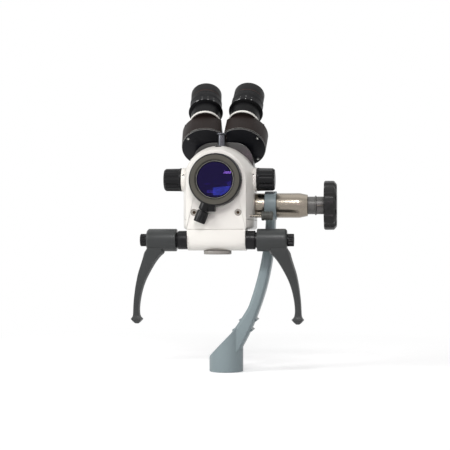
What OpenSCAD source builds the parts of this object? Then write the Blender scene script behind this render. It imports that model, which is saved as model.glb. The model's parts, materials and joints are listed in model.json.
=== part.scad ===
// Colposcope head on its curved arm. Millimetres, +Z up, the objective looks along -Y.
// The origin is the centre of the stand socket's mouth. Head sizes are measured from the
// optical axis, where it leaves the front plate.

/* [Stand arm] */
// Height of the optical axis above the socket mouth
axis_z = 262; // [250:1:300]
// Sideways place of the head's middle from the socket axis
head_x = -8; // [-14:0.5:-2]
// Drop of the tilt axis below the optical axis
tilt_drop = 33; // [31:0.5:36]
// Tilt axis behind the magnification axis
tilt_back = 13; // [10:0.5:16]
// Radius of the arm's curve
arm_r = 370; // [330:5:400]
// Thickness of the arm at the eye
arm_top_w = 12; // [9:0.5:14]
// Thickness of the arm at the socket
arm_low_w = 15; // [12:0.5:17]
// Growth of the arm's inner side down to its end in the socket
arm_flare = 11; // [0:0.5:13]
// Depth of the arm from front to back
arm_depth = 36; // [30:1:38]
// Chamfer along the arm's corners
arm_chamfer = 3.3; // [0.5:0.1:4]
// Outer diameter of the arm's eye
eye_d = 39.4; // [37:0.2:42]
// Width of the arm's eye
eye_w = 16; // [14:0.5:18]
// Outer diameter of the stand socket
socket_d = 47; // [42:0.5:52]
// Depth of the socket's bore
socket_depth = 24; // [18:1:25]
// Bore of the socket's bush, which takes the stand's spindle
bush_d = 25; // [20:0.5:28]
// Wall of the bush
bush_wall = 2.5; // [1.5:0.25:4]
// Height of the socket at its low side
socket_low_h = 20.5; // [14:0.5:26]
// Slope of the socket's mitred top
mitre_angle = 46; // [40:1:50]

/* [Tilt clamp] */
// Diameter of the steel collar and barrel
barrel_d = 34; // [30:0.5:36]
// Length of the steel barrel
barrel_l = 42.5; // [36:0.5:50]
// Length of the barrel's cone
barrel_cone_l = 11; // [6:0.5:16]
// Small diameter of the barrel's cone
barrel_tip_d = 29.4; // [26:0.2:30]
// Diameter of the tilt spindle
spindle_d = 16; // [12:0.5:18]
// Diameter of the black sleeve
sleeve_d = 24.4; // [21:0.2:27]
// Length of the black sleeve
sleeve_l = 21.8; // [16:0.2:26]
// Diameter of the handwheel
wheel_d = 68; // [58:1:76]
// Width of the handwheel
wheel_w = 17.4; // [13:0.2:22]
// Number of grips round the handwheel
wheel_lobes = 10; // [6:1:12]

/* [Housing] */
// Half width of the front plate
plate_half = 40.5; // [39.5:0.25:42]
// Half width of the housing
body_half = 48.6; // [46:0.2:52]
// Depth of the housing behind the front plate's face
body_depth = 85; // [82:1:90]
// Housing's floor below the optical axis
body_drop = 66.5; // [64:0.5:68]
// Seam between the housing and its tray, below the optical axis
seam_drop = 53; // [51:0.5:55]
// Wall of the housing
wall = 3.6; // [2.5:0.1:4]
// Thickness of the front plate
plate_t = 6; // [5:0.5:8]
// Length of the housing's flare from the plate to full width
flare_l = 30; // [24:1:34]
// Diameter of the accessory socket in the roof
roof_bore_d = 8.6; // [6:0.1:10]
// Depth of the accessory socket
roof_bore_depth = 9; // [6:0.5:10]
// Height of the magnification axis above the optical axis
mag_z = 2.5; // [0:0.25:4]
// Magnification axis in front of the housing's middle
mag_lead = 0.5; // [0:0.25:1.5]
// Diameter of the magnification knobs
mag_knob_d = 32; // [26:0.5:34]
// Length of the magnification knobs
mag_knob_l = 24.4; // [18:0.2:28]
// Height of the bosses behind the magnification knobs
boss_h = 3.1; // [2:0.1:5]
// Diameter of the magnification drum
drum_cell_d = 46; // [42:1:46]

/* [Objective] */
// Outer diameter of the objective ring
ring_d = 69.4; // [66:0.2:74]
// Length of the ring in front of the plate
ring_l = 16; // [14:0.5:20]
// Outer diameter of the sliding lens cell
cell_d = 52.4; // [50:0.2:55]
// Free diameter of the objective lens
lens_d = 47.6; // [44:0.2:49]
// Focus travel towards the front
focus_out = 2.5; // [1:0.5:2.5]
// Focus travel towards the back
focus_in = 2.5; // [1:0.5:2.5]
// Angle of the focus knob from straight down
focus_angle = 21; // [10:1:35]
// Diameter of the focus knob
focus_knob_d = 16; // [13:0.5:18]
// Length of the focus knob
focus_knob_l = 16; // [12:0.5:20]

/* [Illumination] */
// Lamp axis behind the front plate
lamp_y = 18; // [16:0.5:20]
// Free diameter of the light path
light_d = 10; // [8:0.5:11]
// Travel of the filter slide
filter_travel = 12; // [11:0.5:12]
// Filter slide below the optical axis
filter_drop = 48; // [46:0.5:50]
// Diameter of the filter rod
rod_d = 2; // [1.5:0.1:3]
// Width of the light box
light_box_w = 30; // [26:1:34]

/* [Handles] */
// Handle axis behind the front plate
grip_y = 10.5; // [10:0.5:14]
// Half width of the handle block
block_half = 39.5; // [36:0.5:42]
// Depth of the handle block
block_depth = 40; // [38:0.5:44]
// Height of the handle block
block_h = 28.4; // [26:0.2:32]
// Diameter of the cap under the block
disc_d = 37.6; // [32:0.2:39]
// Diameter of the handle bar
bar_d = 14; // [10:0.5:15]
// Length of the collars beside the block
collar_l = 15; // [10:0.5:20]
// Diameter of the handle barrels
grip_d = 30.6; // [27:0.2:33]
// Length of the handle barrels
grip_l = 40.2; // [34:0.2:46]
// Reach of a handle from its axis to its tip
grip_reach = 113.2; // [95:1:125]
// Diameter of the end screws
end_screw_d = 17.2; // [14:0.2:20]
// Length of the end screws' heads
end_screw_l = 9; // [6:0.5:12]

/* [Binocular tube] */
// Angle of the tubes from upright
tube_tilt = 45; // [42:1:48]
// Drum face behind the housing's rear face
tube_back = 8; // [6:0.5:11]
// Drum face above the optical axis
tube_z = 50; // [49:0.5:53]
// Distance between the drum axes
drum_pitch = 50.8; // [49:0.2:54]
// Spread of each tube from the middle
tube_spread = 3.7; // [0:0.1:5]
// Diameter of the prism drums
drum_d = 69; // [64:0.5:72]
// Thickness of the prism drums
drum_t = 31; // [26:0.5:36]
// Gap between the drums' flats
drum_gap = 3.8; // [3:0.2:6]
// Widest swing of a drum
drum_swing = 20; // [8:1:22]
// Offset of the eye tube from the drum axis
tube_offset = 18.6; // [15:0.2:20]
// Diameter of the eye tube
eye_tube_d = 42; // [38:0.5:44]
// Length of the eye tube above its white ring
eye_tube_l = 21; // [16:0.5:26]
// Half width of the tube base
base_half = 44.5; // [40:0.5:48]
// Diameter of the tube base's spigot
spigot_d = 60; // [56:0.5:60]

/* [Eyepieces] */
// Diameter of the eyepiece flange
flange_d = 50; // [47:0.5:53]
// Diameter of the dioptre ring
dioptre_d = 46; // [43:0.5:47]
// Length of the dioptre ring
dioptre_l = 21; // [16:0.5:26]
// Diameter of the eyecup
eyecup_d = 44.4; // [41:0.2:46]
// Length of the eyecup
eyecup_l = 20; // [15:0.5:26]
// Travel of the eyecup
eyecup_travel = 6; // [3:0.5:8]

/* [Hidden] */
$fn = 64;

// One overrun serves all cuts, one clearance every running fit and one gap every moving face
over = 1;
fit = 0.05;
gap = 0.3;
hull_fn = 32;
// Places behind the front plate that follow the housing's depth
mag_y = body_depth / 2 - mag_lead;
tilt_y = mag_y + tilt_back;
tube_y = body_depth + tube_back;
// Places along the tilt axis, from the head's middle
collar_w = 13.5;
eye_x0 = body_half + collar_w;
eye_x1 = eye_x0 + eye_w;
barrel_x0 = eye_x1 + gap;
barrel_x1 = barrel_x0 + barrel_l;
sleeve_x1 = barrel_x1 + gap + sleeve_l;
wheel_x0 = sleeve_x1 + gap;
wheel_x1 = wheel_x0 + wheel_w;
// Places along the magnification and handle axes
knob_x0 = body_half + boss_h + gap;
knob_x1 = knob_x0 + mag_knob_l;
shaft_r = 4;
grip_x0 = block_half + collar_l + gap;
grip_x1 = grip_x0 + grip_l;
end_x1 = grip_x1 + gap + end_screw_l;
// Places along an eye tube, from the drum's face
ring_h = 3;
tube_top = drum_t + ring_h + eye_tube_l;
flange_h = 3;
dioptre_z = tube_top + flange_h;
eyecup_z = dioptre_z + dioptre_l;
drum_x = drum_pitch / 2;
flat_x = drum_x - drum_gap / 2;
light_r = light_d / 2;

// Carries children drawn in the head's sizes to the part's frame
module in_head() translate([head_x, -tilt_y, axis_z]) children();

// Carries children drawn along +Z to the tube's slope
module in_tube() in_head() translate([0, tube_y, tube_z]) rotate([-tube_tilt, 0, 0]) children();

// Places a right-hand half of the tube, or its mirror for the left
module tube_side(side)
  in_tube() mirror([side < 0 ? 1 : 0, 0, 0]) translate([drum_x, 0, 0]) rotate([0, tube_spread, 0])
    children();

// Places children on the eye tube's own axis
module on_eye_tube(side) tube_side(side) translate([0, -tube_offset, 0]) children();

// A cylinder along X from x0 to x1
module rod_x(x0, x1, r) translate([x0, 0, 0]) rotate([0, 90, 0]) cylinder(h = x1 - x0, r = r);

// A cone along X from x0 to x1
module cone_x(x0, x1, r0, r1)
  translate([x0, 0, 0]) rotate([0, 90, 0]) cylinder(h = x1 - x0, r1 = r0, r2 = r1);

// A cylinder along Y from y0 to y1
module rod_y(y0, y1, r) translate([0, y0, 0]) rotate([-90, 0, 0]) cylinder(h = y1 - y0, r = r);

// A tube along Z
module tube(h, r, bore) difference() {
  cylinder(h = h, r = r);
  translate([0, 0, -over]) cylinder(h = h + 2 * over, r = bore);
}

// The arch outline of the housing in X and Z, as a plate standing at y. Its lower corners are
// square, or rounded with a radius.
module arch(y, t, half, drop, corner = 0, fn = 64)
  translate([0, y, 0]) rotate([90, 0, 0]) translate([0, 0, -t]) linear_extrude(t) {
    circle(r = half, $fn = fn);
    translate([-half, corner - drop]) square([2 * half, drop - corner]);
    if (corner > 0) {
      translate([corner - half, -drop]) square([2 * (half - corner), drop]);
      for (s = [-1, 1]) translate([s * (half - corner), corner - drop])
        circle(r = corner, $fn = fn / 4);
    }
  }

// Arm curve: the angle runs from the eye down to the socket
arm_x0 = head_x + (eye_x0 + eye_x1) / 2;
eye_z = axis_z - tilt_drop;
arm_z0 = eye_z - eye_d / 3;
arm_end_z = socket_low_h + socket_d / 8;
arm_end = asin((arm_z0 - arm_end_z) / arm_r);
arm_steps = 18;
flare_share = 0.66;
function arm_w(a) = arm_top_w + (arm_low_w - arm_top_w) * min(1, 2 * a / arm_end);
function arm_in(a) = arm_flare * max(0, a / arm_end - flare_share) / (1 - flare_share);
function arm_point(a, out, y) =
  [arm_x0 - arm_r + (arm_r + out) * cos(a), y, arm_z0 - (arm_r + out) * sin(a)];
function arm_ring(a) = let (w = arm_w(a) / 2, v = w + arm_in(a), d = arm_depth / 2, c = arm_chamfer)
  [arm_point(a, w, -d + c), arm_point(a, w, d - c), arm_point(a, w - c, d), arm_point(a, c - v, d),
   arm_point(a, -v, d - c), arm_point(a, -v, -d + c), arm_point(a, c - v, -d), arm_point(a, w - c, -d)];

// Joins rings of points into a closed skin, with both ends capped
module skin(rings) {
  n = len(rings[0]);
  m = len(rings);
  polyhedron(
    points = [for (r = rings) each r],
    faces = concat([[for (i = [n - 1 : -1 : 0]) i], [for (i = [0 : n - 1]) (m - 1) * n + i]],
      [for (k = [0 : m - 2], i = [0 : n - 1]) let (j = (i + 1) % n)
        [k * n + i, (k + 1) * n + j, (k + 1) * n + i]],
      [for (k = [0 : m - 2], i = [0 : n - 1]) let (j = (i + 1) % n)
        [k * n + i, k * n + j, (k + 1) * n + j]]));
}

module arm_beam() skin([for (k = [0 : arm_steps]) arm_ring(arm_end * k / arm_steps)]);

// Socket tube with its mitred top
mitre_l = 2 * socket_d;
module socket_body() difference() {
  cylinder(h = mitre_l, d = socket_d);
  translate([-socket_d / 2, 0, socket_low_h]) rotate([0, -mitre_angle, 0])
    translate([-mitre_l, -socket_d, 0]) cube([3 * mitre_l, 2 * socket_d, mitre_l]);
}

module swan_arm() color("#6f7f84") difference() {
  union() {
    arm_beam();
    translate([0, 0, eye_z]) rod_x(head_x + eye_x0, head_x + eye_x1, eye_d / 2);
  }
  translate([0, 0, eye_z]) rod_x(head_x + eye_x0 - over, head_x + eye_x1 + over, spindle_d / 2 + fit);
  socket_body();
}

module arm_socket() color("#6a7a7f") difference() {
  socket_body();
  translate([0, 0, -over]) cylinder(h = socket_depth + over, r = bush_d / 2 + bush_wall);
}

module socket_bush() color("#2b2b2b") tube(socket_depth, bush_d / 2 + bush_wall, bush_d / 2);

// Two ridged clips that hold a lead at the arm's back and grip its sides
clip_h = 4;
clip_out = 2.4;
clip_front = 8;
clip_back = 3;
clip_shares = [0.75, 0.83];
module clip_at(a) {
  p = arm_point(a, -arm_in(a) / 2, 0);
  w = (arm_low_w + arm_in(a)) / cos(a) + clip_h * tan(a);
  depth = arm_depth - clip_front + clip_back;
  difference() {
    translate([p[0] - w / 2, clip_front - arm_depth / 2, p[2]]) hull() {
      translate([-clip_out, 0, -fit]) cube([w + 2 * clip_out, depth, 2 * fit]);
      translate([0, 0, -clip_h / 2]) cube([w, depth, clip_h]);
    }
    arm_beam();
    socket_body();
  }
}
module cable_clips() color("#55646a") for (s = clip_shares) clip_at(arm_end * s);

module tilt_barrel() color("#b9b3a8") in_head() translate([0, tilt_y, -tilt_drop]) difference() {
  union() {
    rod_x(barrel_x0, barrel_x1 - barrel_cone_l, barrel_d / 2);
    cone_x(barrel_x1 - barrel_cone_l, barrel_x1, barrel_d / 2, barrel_tip_d / 2);
  }
  rod_x(barrel_x0 - over, barrel_x1 + over, spindle_d / 2 + fit);
  rod_x(barrel_x0 + wall, barrel_x1 + over, spindle_d / 2 + spring_w + fit);
}

// Stack of disc springs in the barrel
spring_w = 4;
spring_t = 1.2;
spring_count = 12;
spring_pitch = (barrel_l - wall) / spring_count;
module disc_springs() color("#8d8f92") in_head() translate([barrel_x0 + wall, tilt_y, -tilt_drop])
  rotate([0, 90, 0]) rotate_extrude() {
    r0 = spindle_d / 2 + fit;
    r1 = spindle_d / 2 + spring_w;
    for (k = [0 : spring_count - 1]) let (up = k % 2, z = k * spring_pitch, h = spring_pitch - spring_t - fit)
      polygon([[r0, z + up * h], [r1, z + (1 - up) * h], [r1, z + (1 - up) * h + spring_t],
        [r0, z + up * h + spring_t]]);
  }

// Black sleeve between barrel and handwheel, with its ridge and its window
ridge_w = 2.4;
ridge_out = 1.5;
window_h = 13;
module thrust_sleeve() color("#232325") in_head() translate([0, tilt_y, -tilt_drop]) difference() {
  x0 = barrel_x1;
  union() {
    rod_x(x0, sleeve_x1, sleeve_d / 2);
    rod_x((x0 + sleeve_x1 - ridge_w) / 2, (x0 + sleeve_x1 + ridge_w) / 2, sleeve_d / 2 + ridge_out);
  }
  rod_x(x0 - over, sleeve_x1 + over, spindle_d / 2 + fit);
  translate([(x0 + sleeve_x1 + ridge_w) / 2, -sleeve_d, -window_h])
    cube([sleeve_l, sleeve_d - spindle_d / 2, window_h]);
}

wheel_round = 5;
lobe_r = 9;
lobe_deep = 2;
wheel_bore_l = 13;
module handwheel() color("#1f1f21") in_head() translate([0, tilt_y, -tilt_drop]) difference() {
  translate([wheel_x0, 0, 0]) rotate([0, 90, 0]) rotate_extrude() {
    r = wheel_d / 2;
    square([r - wheel_round / 2, wheel_w - wheel_round]);
    translate([0, wheel_round / 2]) square([r, wheel_w - 3 * wheel_round / 2]);
    translate([r - wheel_round / 2, wheel_round / 2]) circle(r = wheel_round / 2);
    translate([0, wheel_w - wheel_round]) square([r - wheel_round, wheel_round]);
    translate([r - wheel_round, wheel_w - wheel_round]) circle(r = wheel_round);
  }
  for (k = [0 : wheel_lobes - 1]) rotate([k * 360 / wheel_lobes, 0, 0])
    translate([0, wheel_d / 2 + lobe_r - lobe_deep, 0]) rod_x(wheel_x0 - over, wheel_x1 + over, lobe_r);
  rod_x(wheel_x0 - over, wheel_x0 + wheel_bore_l, spindle_d / 2 + fit);
}

// Spindle with its collar, screwed into the boss inside the housing
stud_l = 12;
module tilt_spindle() color("#b4ada1") in_head() translate([0, tilt_y, -tilt_drop]) {
  rod_x(body_half, eye_x0 - gap, barrel_d / 2);
  rod_x(body_half - stud_l, wheel_x0 + wheel_bore_l - over, spindle_d / 2);
}

// Housing: the flare swells from the plate to full width along a quarter sine
flare_n = 3;
function flare_half(k) = plate_half + (body_half - plate_half) * sin(90 * k / flare_n);
rear_round = 3;
tray_round = 5;
module body_form(inset, y0, y1) {
  t = gap;
  drop = body_drop - inset;
  corner = max(tray_round - inset, fit);
  hull() {
    for (k = [0 : flare_n])
      arch(k == 0 ? y0 : plate_t + flare_l * k / flare_n, t, flare_half(k) - inset, drop, corner,
        hull_fn);
    arch(y1 - t - rear_round, t, body_half - inset, drop, corner, hull_fn);
    arch(y1 - t, t, body_half - inset - rear_round / 2, drop, corner, hull_fn);
  }
}
module upper_side() translate([-2 * body_half, -body_depth, -seam_drop])
  cube([4 * body_half, 3 * body_depth, 4 * body_half]);

tilt_boss_x = body_half - stud_l;
boss_d = mag_knob_d + over;
clamp_d = 10.4;
roof_y = 25;
rear_t = 4;
mag_half = 20;
base_wall = 4;
// The spigot starts where the magnification drum's rim no longer fills its bore
spigot_bore_r = spigot_d / 2 - base_wall;
drum_rim_z = sqrt(spigot_bore_r * spigot_bore_r - mag_half * mag_half) - mag_z;
spigot_y = mag_y + sqrt(drum_cell_d * drum_cell_d / 4 - drum_rim_z * drum_rim_z) + over;
clamp_y = spigot_y + clamp_d / 2;
module housing() color("#eceae4") in_head() difference() {
  union() {
    difference() {
      body_form(0, plate_t, body_depth - rear_t);
      body_form(wall, plate_t - over, body_depth + over);
    }
    for (turn = [0, 180]) translate([0, mag_y, mag_z]) rotate([0, turn, 0])
      rod_x(body_half - wall / 2, body_half + boss_h, boss_d / 2);
    translate([0, tilt_y, -tilt_drop]) rod_x(tilt_boss_x, body_half - wall / 2, barrel_d / 2);
    translate([0, roof_y, body_half - wall - roof_bore_depth])
      cylinder(h = roof_bore_depth + wall, d = roof_bore_d + wall);
  }
  difference() {
    translate([-2 * body_half, -over, -2 * body_half])
      cube([4 * body_half, body_depth + 2 * over, 4 * body_half]);
    upper_side();
  }
  translate([0, mag_y, mag_z]) rod_x(-knob_x0, knob_x0, shaft_r + fit);
  translate([0, tilt_y, -tilt_drop]) rod_x(tilt_boss_x - over, body_half + over, spindle_d / 2);
  translate([0, clamp_y, 0]) cylinder(h = 2 * body_half, d = clamp_d - clamp_d / 3);
  translate([0, roof_y, body_half - roof_bore_depth]) cylinder(h = 2 * body_half, d = roof_bore_d);
  translate([0, lamp_y, -filter_drop]) rod_x(0, 2 * body_half, rod_d / 2 + gap);
}

// Lower part of the housing, below the seam
tray_gap = 0.4;
module bottom_tray() color("#e4e2dc") in_head() difference() {
  body_form(0, plate_t, body_depth - rear_t);
  body_form(wall, plate_t - over, body_depth + over);
  translate([0, 0, -tray_gap]) upper_side();
}

screw_y = 43.5;
screw_x = 29.6;
screw_head_d = 8.5;
screw_well_d = 9.2;
screw_well = 4;
screw_head_h = 3.2;
module at_front_screws() for (s = [-1, 1]) translate([s * screw_x, 0, -screw_y]) children();
module front_plate() color("#efede7") in_head() difference() {
  arch(0, plate_t, plate_half, body_drop);
  rod_y(-over, plate_t + over, cell_d / 2 + 2 * gap);
  at_front_screws() {
    rod_y(-over, screw_well, screw_well_d / 2);
    rod_y(0, plate_t + over, screw_head_d / 4);
  }
}
hex_shares = [0.3, 0.55];
module front_screws() color("#4a4640") in_head() at_front_screws() difference() {
  union() {
    rod_y(screw_well - screw_head_h, screw_well, screw_head_d / 2);
    rod_y(screw_well, plate_t, screw_head_d / 4 - fit);
  }
  translate([0, screw_well - screw_head_h - over, 0]) rotate([-90, 0, 0])
    cylinder(h = over + screw_head_h * hex_shares[1], r = screw_head_d * hex_shares[0], $fn = 6);
}

// Rear cover with the socket that takes the tube base's spigot
socket_wall = 4;
module rear_cover() color("#e9e7e1") in_head() difference() {
  union() {
    arch(body_depth - rear_t, rear_t, body_half - rear_round / 2, body_drop, tray_round);
    rod_y(spigot_y - gap, body_depth - rear_t, spigot_d / 2 + socket_wall);
  }
  rod_y(spigot_y - over, body_depth + over, spigot_d / 2 + fit);
  translate([0, clamp_y, 0]) cylinder(h = 2 * body_half, d = clamp_d - clamp_d / 3);
}

// Knurled screw through the roof that clamps the spigot
clamp_cap_d = 14.4;
clamp_cap_h = 2.6;
clamp_top = 69;
module tube_clamp_screw() color("#a9a7a2") in_head() translate([0, clamp_y, 0]) {
  translate([0, 0, body_half]) cylinder(h = clamp_top - body_half, d = clamp_d);
  translate([0, 0, clamp_top - clamp_cap_h]) cylinder(h = clamp_cap_h, d = clamp_cap_d);
  translate([0, 0, spigot_d / 2]) cylinder(h = body_half - spigot_d / 2, r = clamp_d / 3 - fit);
}

// Handle block with its round underside, bored for the handle bar
grip_drop = body_drop + block_h / 2;
disc_y = block_depth / 2;
disc_h = 5.2;
stud_d = 8;
stud_h = 5;
module handle_block() color("#e9e7e1") in_head() difference() {
  hull() for (y = [block_h / 2, block_depth - block_h / 2]) {
    translate([0, y, -grip_drop]) rod_x(-block_half, block_half, block_h / 2, $fn = hull_fn);
    translate([-block_half, y - block_h / 2, -grip_drop])
      cube([2 * block_half, block_h, block_h / 2]);
  }
  translate([0, grip_y, -grip_drop]) rod_x(-block_half - over, block_half + over, bar_d / 2 + fit);
  translate([0, disc_y, -grip_drop - block_h]) cylinder(h = block_h / 2 + stud_h + gap, d = stud_d + 2 * fit);
}

// Light cap under the block
module block_cap() color("#c9c9c6") in_head() translate([0, disc_y, -grip_drop - block_h / 2]) {
  translate([0, 0, -disc_h]) cylinder(h = disc_h, d = disc_d);
  translate([0, 0, -disc_h / 2]) cylinder(h = disc_h / 2 + stud_h, d = stud_d);
}

// Handle bar with its two collars and their necks beside the handles
neck_l = 2.2;
collar_d = 25.3;
module handle_bar() color("#2a2a2b") in_head() translate([0, grip_y, -grip_drop]) {
  rod_x(-grip_x1 - gap, grip_x1 + gap, bar_d / 2);
  for (turn = [0, 180]) rotate([0, turn, 0]) {
    rod_x(block_half, grip_x0 - gap - neck_l, collar_d / 2);
    rod_x(grip_x0 - gap - neck_l, grip_x0 - gap, collar_d / 2 - neck_l);
  }
}

// Handle: station below the axis, middle outwards from the bar's end, half width and half depth,
// each as a share of the reach. Front and back are flat and narrower than the middle by the draft.
lever_shares = [
  [0.04, -0.115, 0.085, 0.095], [0.115, -0.095, 0.112, 0.095], [0.155, -0.082, 0.122, 0.092],
  [0.195, -0.055, 0.106, 0.089], [0.240, -0.030, 0.094, 0.086], [0.300, 0.000, 0.083, 0.082],
  [0.400, 0.044, 0.070, 0.077], [0.480, 0.072, 0.059, 0.073], [0.560, 0.094, 0.051, 0.069],
  [0.640, 0.110, 0.045, 0.066], [0.710, 0.121, 0.042, 0.063], [0.780, 0.128, 0.040, 0.060],
  [0.845, 0.131, 0.040, 0.058], [0.900, 0.130, 0.045, 0.058], [0.928, 0.128, 0.060, 0.064],
  [0.943, 0.126, 0.074, 0.074], [0.953, 0.126, 0.070, 0.070], [0.985, 0.126, 0.040, 0.040],
  [1.0, 0.126, 0.020, 0.020]];
lever_draft = 1.9;
lever_edge_share = 0.1;
function lever_ring(s) = let (m = grip_x1 + grip_reach * s[1], w = grip_reach * s[2],
  d = grip_reach * s[3], n = w - lever_draft, e = d * lever_edge_share, z = -grip_reach * s[0])
  [[m + w, e, z], [m + n, d, z], [m - n, d, z], [m - w, e, z],
   [m - w, -e, z], [m - n, -d, z], [m + n, -d, z], [m + w, -e, z]];
module handle(side) in_head() translate([0, grip_y, -grip_drop]) mirror([side < 0 ? 1 : 0, 0, 0])
  difference() {
    union() {
      rod_x(grip_x0, grip_x1, grip_d / 2);
      skin([for (s = lever_shares) lever_ring(s)]);
    }
    rod_x(grip_x0 - over, grip_x1 + over, bar_d / 2 + fit);
    rod_x(grip_x1, end_x1, end_screw_d / 2 + gap);
  }
module left_handle() color("#38383a") handle(-1);
module right_handle() color("#38383a") handle(1);

screw_ribs = 16;
rib_r = 0.9;
module end_screw(side) in_head() translate([0, grip_y, -grip_drop]) mirror([side < 0 ? 1 : 0, 0, 0])
  difference() {
    rod_x(grip_x1 + gap, end_x1, end_screw_d / 2);
    for (k = [0 : screw_ribs - 1]) rotate([k * 360 / screw_ribs, 0, 0])
      translate([0, end_screw_d / 2 + rib_r / 2, 0]) rod_x(grip_x1 + 2 * over, end_x1 + over, rib_r);
  }
module left_end_screw() color("#2c2c2e") end_screw(-1);
module right_end_screw() color("#2c2c2e") end_screw(1);

// Light box on the tray's floor, with the lamp below, the filter's channel across it and the
// prism on top
box_z0 = -body_drop + wall;
box_z1 = -cell_d / 2 - gap;
box_depth = 23;
slide_t = 3;
slide_w = 18;
lamp_h = 6;
lamp_d = 16;
module at_lamp() in_head() translate([0, lamp_y, 0]) children();
module light_box() color("#26262a") at_lamp() difference() {
  translate([-light_box_w / 2, -box_depth / 2, box_z0]) cube([light_box_w, box_depth, box_z1 - box_z0]);
  translate([0, 0, box_z0 - over]) cylinder(h = box_z1 - box_z0 + 2 * over, d = light_d);
  translate([0, 0, box_z0 - over]) cylinder(h = lamp_h + over, d = lamp_d + 2 * fit);
  translate([-light_box_w, -slide_w / 2 - fit, -filter_drop - slide_t / 2 - fit])
    cube([2 * light_box_w, slide_w + 2 * fit, slide_t + 2 * fit]);
}

module led_lamp() color("#d9d6a0") at_lamp() translate([0, 0, box_z0]) {
  cylinder(h = lamp_h / 3, d = lamp_d);
  intersection() {
    translate([0, 0, lamp_h / 3]) sphere(d = light_d);
    cylinder(h = lamp_h, d = lamp_d);
  }
}

prism_l = 16;
module light_prism() at_lamp() translate([-light_box_w / 2 + over, 0, box_z1])
  rotate([90, 0, 90]) linear_extrude(light_box_w - 2 * over)
    polygon([[-box_depth / 2 + over, 0], [prism_l - box_depth / 2, 0], [-box_depth / 2 + over, prism_l]]);

// Slide with an open hole in the light path and the filter one travel outwards
slide_x0 = -filter_travel;
slide_x1 = 2 * filter_travel;
filter_seat = 0.6;
rod_x1 = 60;
filter_knob_l = 15.4;
filter_knob_h = 12.6;
groove_shares = [0.25, 0.45, 0.65];
module filter_slide() color("#c3c4c6") at_lamp() translate([0, 0, -filter_drop]) {
  difference() {
    translate([slide_x0, -slide_w / 2, -slide_t / 2]) cube([slide_x1 - slide_x0, slide_w, slide_t]);
    translate([0, 0, -slide_t]) cylinder(h = 2 * slide_t, d = light_d);
    translate([filter_travel, 0, -slide_t]) cylinder(h = 2 * slide_t, d = light_d - 2 * filter_seat);
    translate([filter_travel, 0, 0]) cylinder(h = slide_t, d = light_d);
  }
  rod_x(slide_x1, rod_x1 + filter_knob_l / 2, rod_d / 2);
}

module green_filter() color("#2f9e57", 0.7) at_lamp()
  translate([filter_travel, 0, -filter_drop]) cylinder(h = slide_t / 2, d = light_d - 2 * fit);

module filter_knob() color("#3c3d38") at_lamp() translate([0, 0, -filter_drop]) difference() {
  rod_x(rod_x1, rod_x1 + filter_knob_l, filter_knob_h / 2);
  rod_x(rod_x1 - over, rod_x1 + filter_knob_l / 2, rod_d / 2);
  for (x = groove_shares) translate([rod_x1 + filter_knob_l * x, 0, 0])
    difference() {
      rod_x(0, over, filter_knob_h);
      rod_x(-over, 2 * over, filter_knob_h / 2 - rib_r);
    }
}

// Objective ring and the lens cell that slides in it
shaft_d = 6;
pinion_r = 2;
cell_back = 1.5;
cell_y0 = cell_back - ring_l;
cell_l = 17;
groove = 0.9;
retainer_l = 1.5;
retainer_w = 1.5;
module at_focus() in_head() translate([0, -ring_l / 2, 0]) rotate([0, 180 + focus_angle, 0]) children();

module objective_ring() color("#65635a") difference() {
  in_head() difference() {
    union() {
      rod_y(-ring_l, -gap, ring_d / 2 - over);
      rod_y(-ring_l + over, 0, ring_d / 2);
    }
    rod_y(-ring_l - over, over, cell_d / 2 + fit);
    rod_y(-ring_l - over, -ring_l + groove, cell_d / 2 + groove);
  }
  at_focus() cylinder(h = ring_d, d = shaft_d + 2 * fit);
}

module lens_cell() color("#1b1b1d") difference() {
  in_head() difference() {
    rod_y(cell_y0, cell_y0 + cell_l, cell_d / 2);
    rod_y(cell_y0 - over, cell_y0 + cell_l - retainer_l, lens_d / 2 + gap);
    rod_y(cell_y0 - over, cell_y0 + retainer_l, lens_d / 2 + retainer_w);
    rod_y(cell_y0, cell_y0 + cell_l + over, lens_d / 2 - 2 * retainer_w);
  }
  at_focus() translate([0, 0, lens_d / 2 - over]) hull() for (y = [-focus_in, focus_out])
    translate([0, y, 0]) cylinder(h = cell_d, r = pinion_r + gap, $fn = hull_fn);
}

module lens_retainer() color("#b8b8bd") in_head() difference() {
  rod_y(cell_y0, cell_y0 + retainer_l, lens_d / 2 + retainer_w - fit);
  rod_y(cell_y0 - over, cell_y0 + cell_l, lens_d / 2);
}

// Doublet: a crown behind the retainer and a flint behind the crown
lens_curve_r = 110;
lens_edge = 5;
lens_steps = 12;
lens_rim_r = lens_d / 2 + gap - fit;
function sag(x) = lens_curve_r - sqrt(lens_curve_r * lens_curve_r - x * x);
lens_dome = [for (k = [0 : lens_steps]) let (x = lens_rim_r * k / lens_steps)
  [x, sag(lens_rim_r) - sag(x)]];
lens_dip = [for (k = [lens_steps : -1 : 0]) [lens_dome[k][0], -lens_dome[k][1]]];
lens_back = 0.1;
module objective_lens() color("#2a2560", 0.7) in_head()
  translate([0, cell_y0 + retainer_l + lens_back, 0]) rotate([90, 0, 0]) rotate_extrude() {
    back = 2 * retainer_l - cell_l + lens_back;
    polygon(concat(lens_dome, [for (p = lens_dip) p - [0, lens_edge]]));
    polygon(concat([[0, back], [lens_rim_r, back]], [for (p = lens_dip) p - [0, lens_edge + fit]]));
  }

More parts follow.
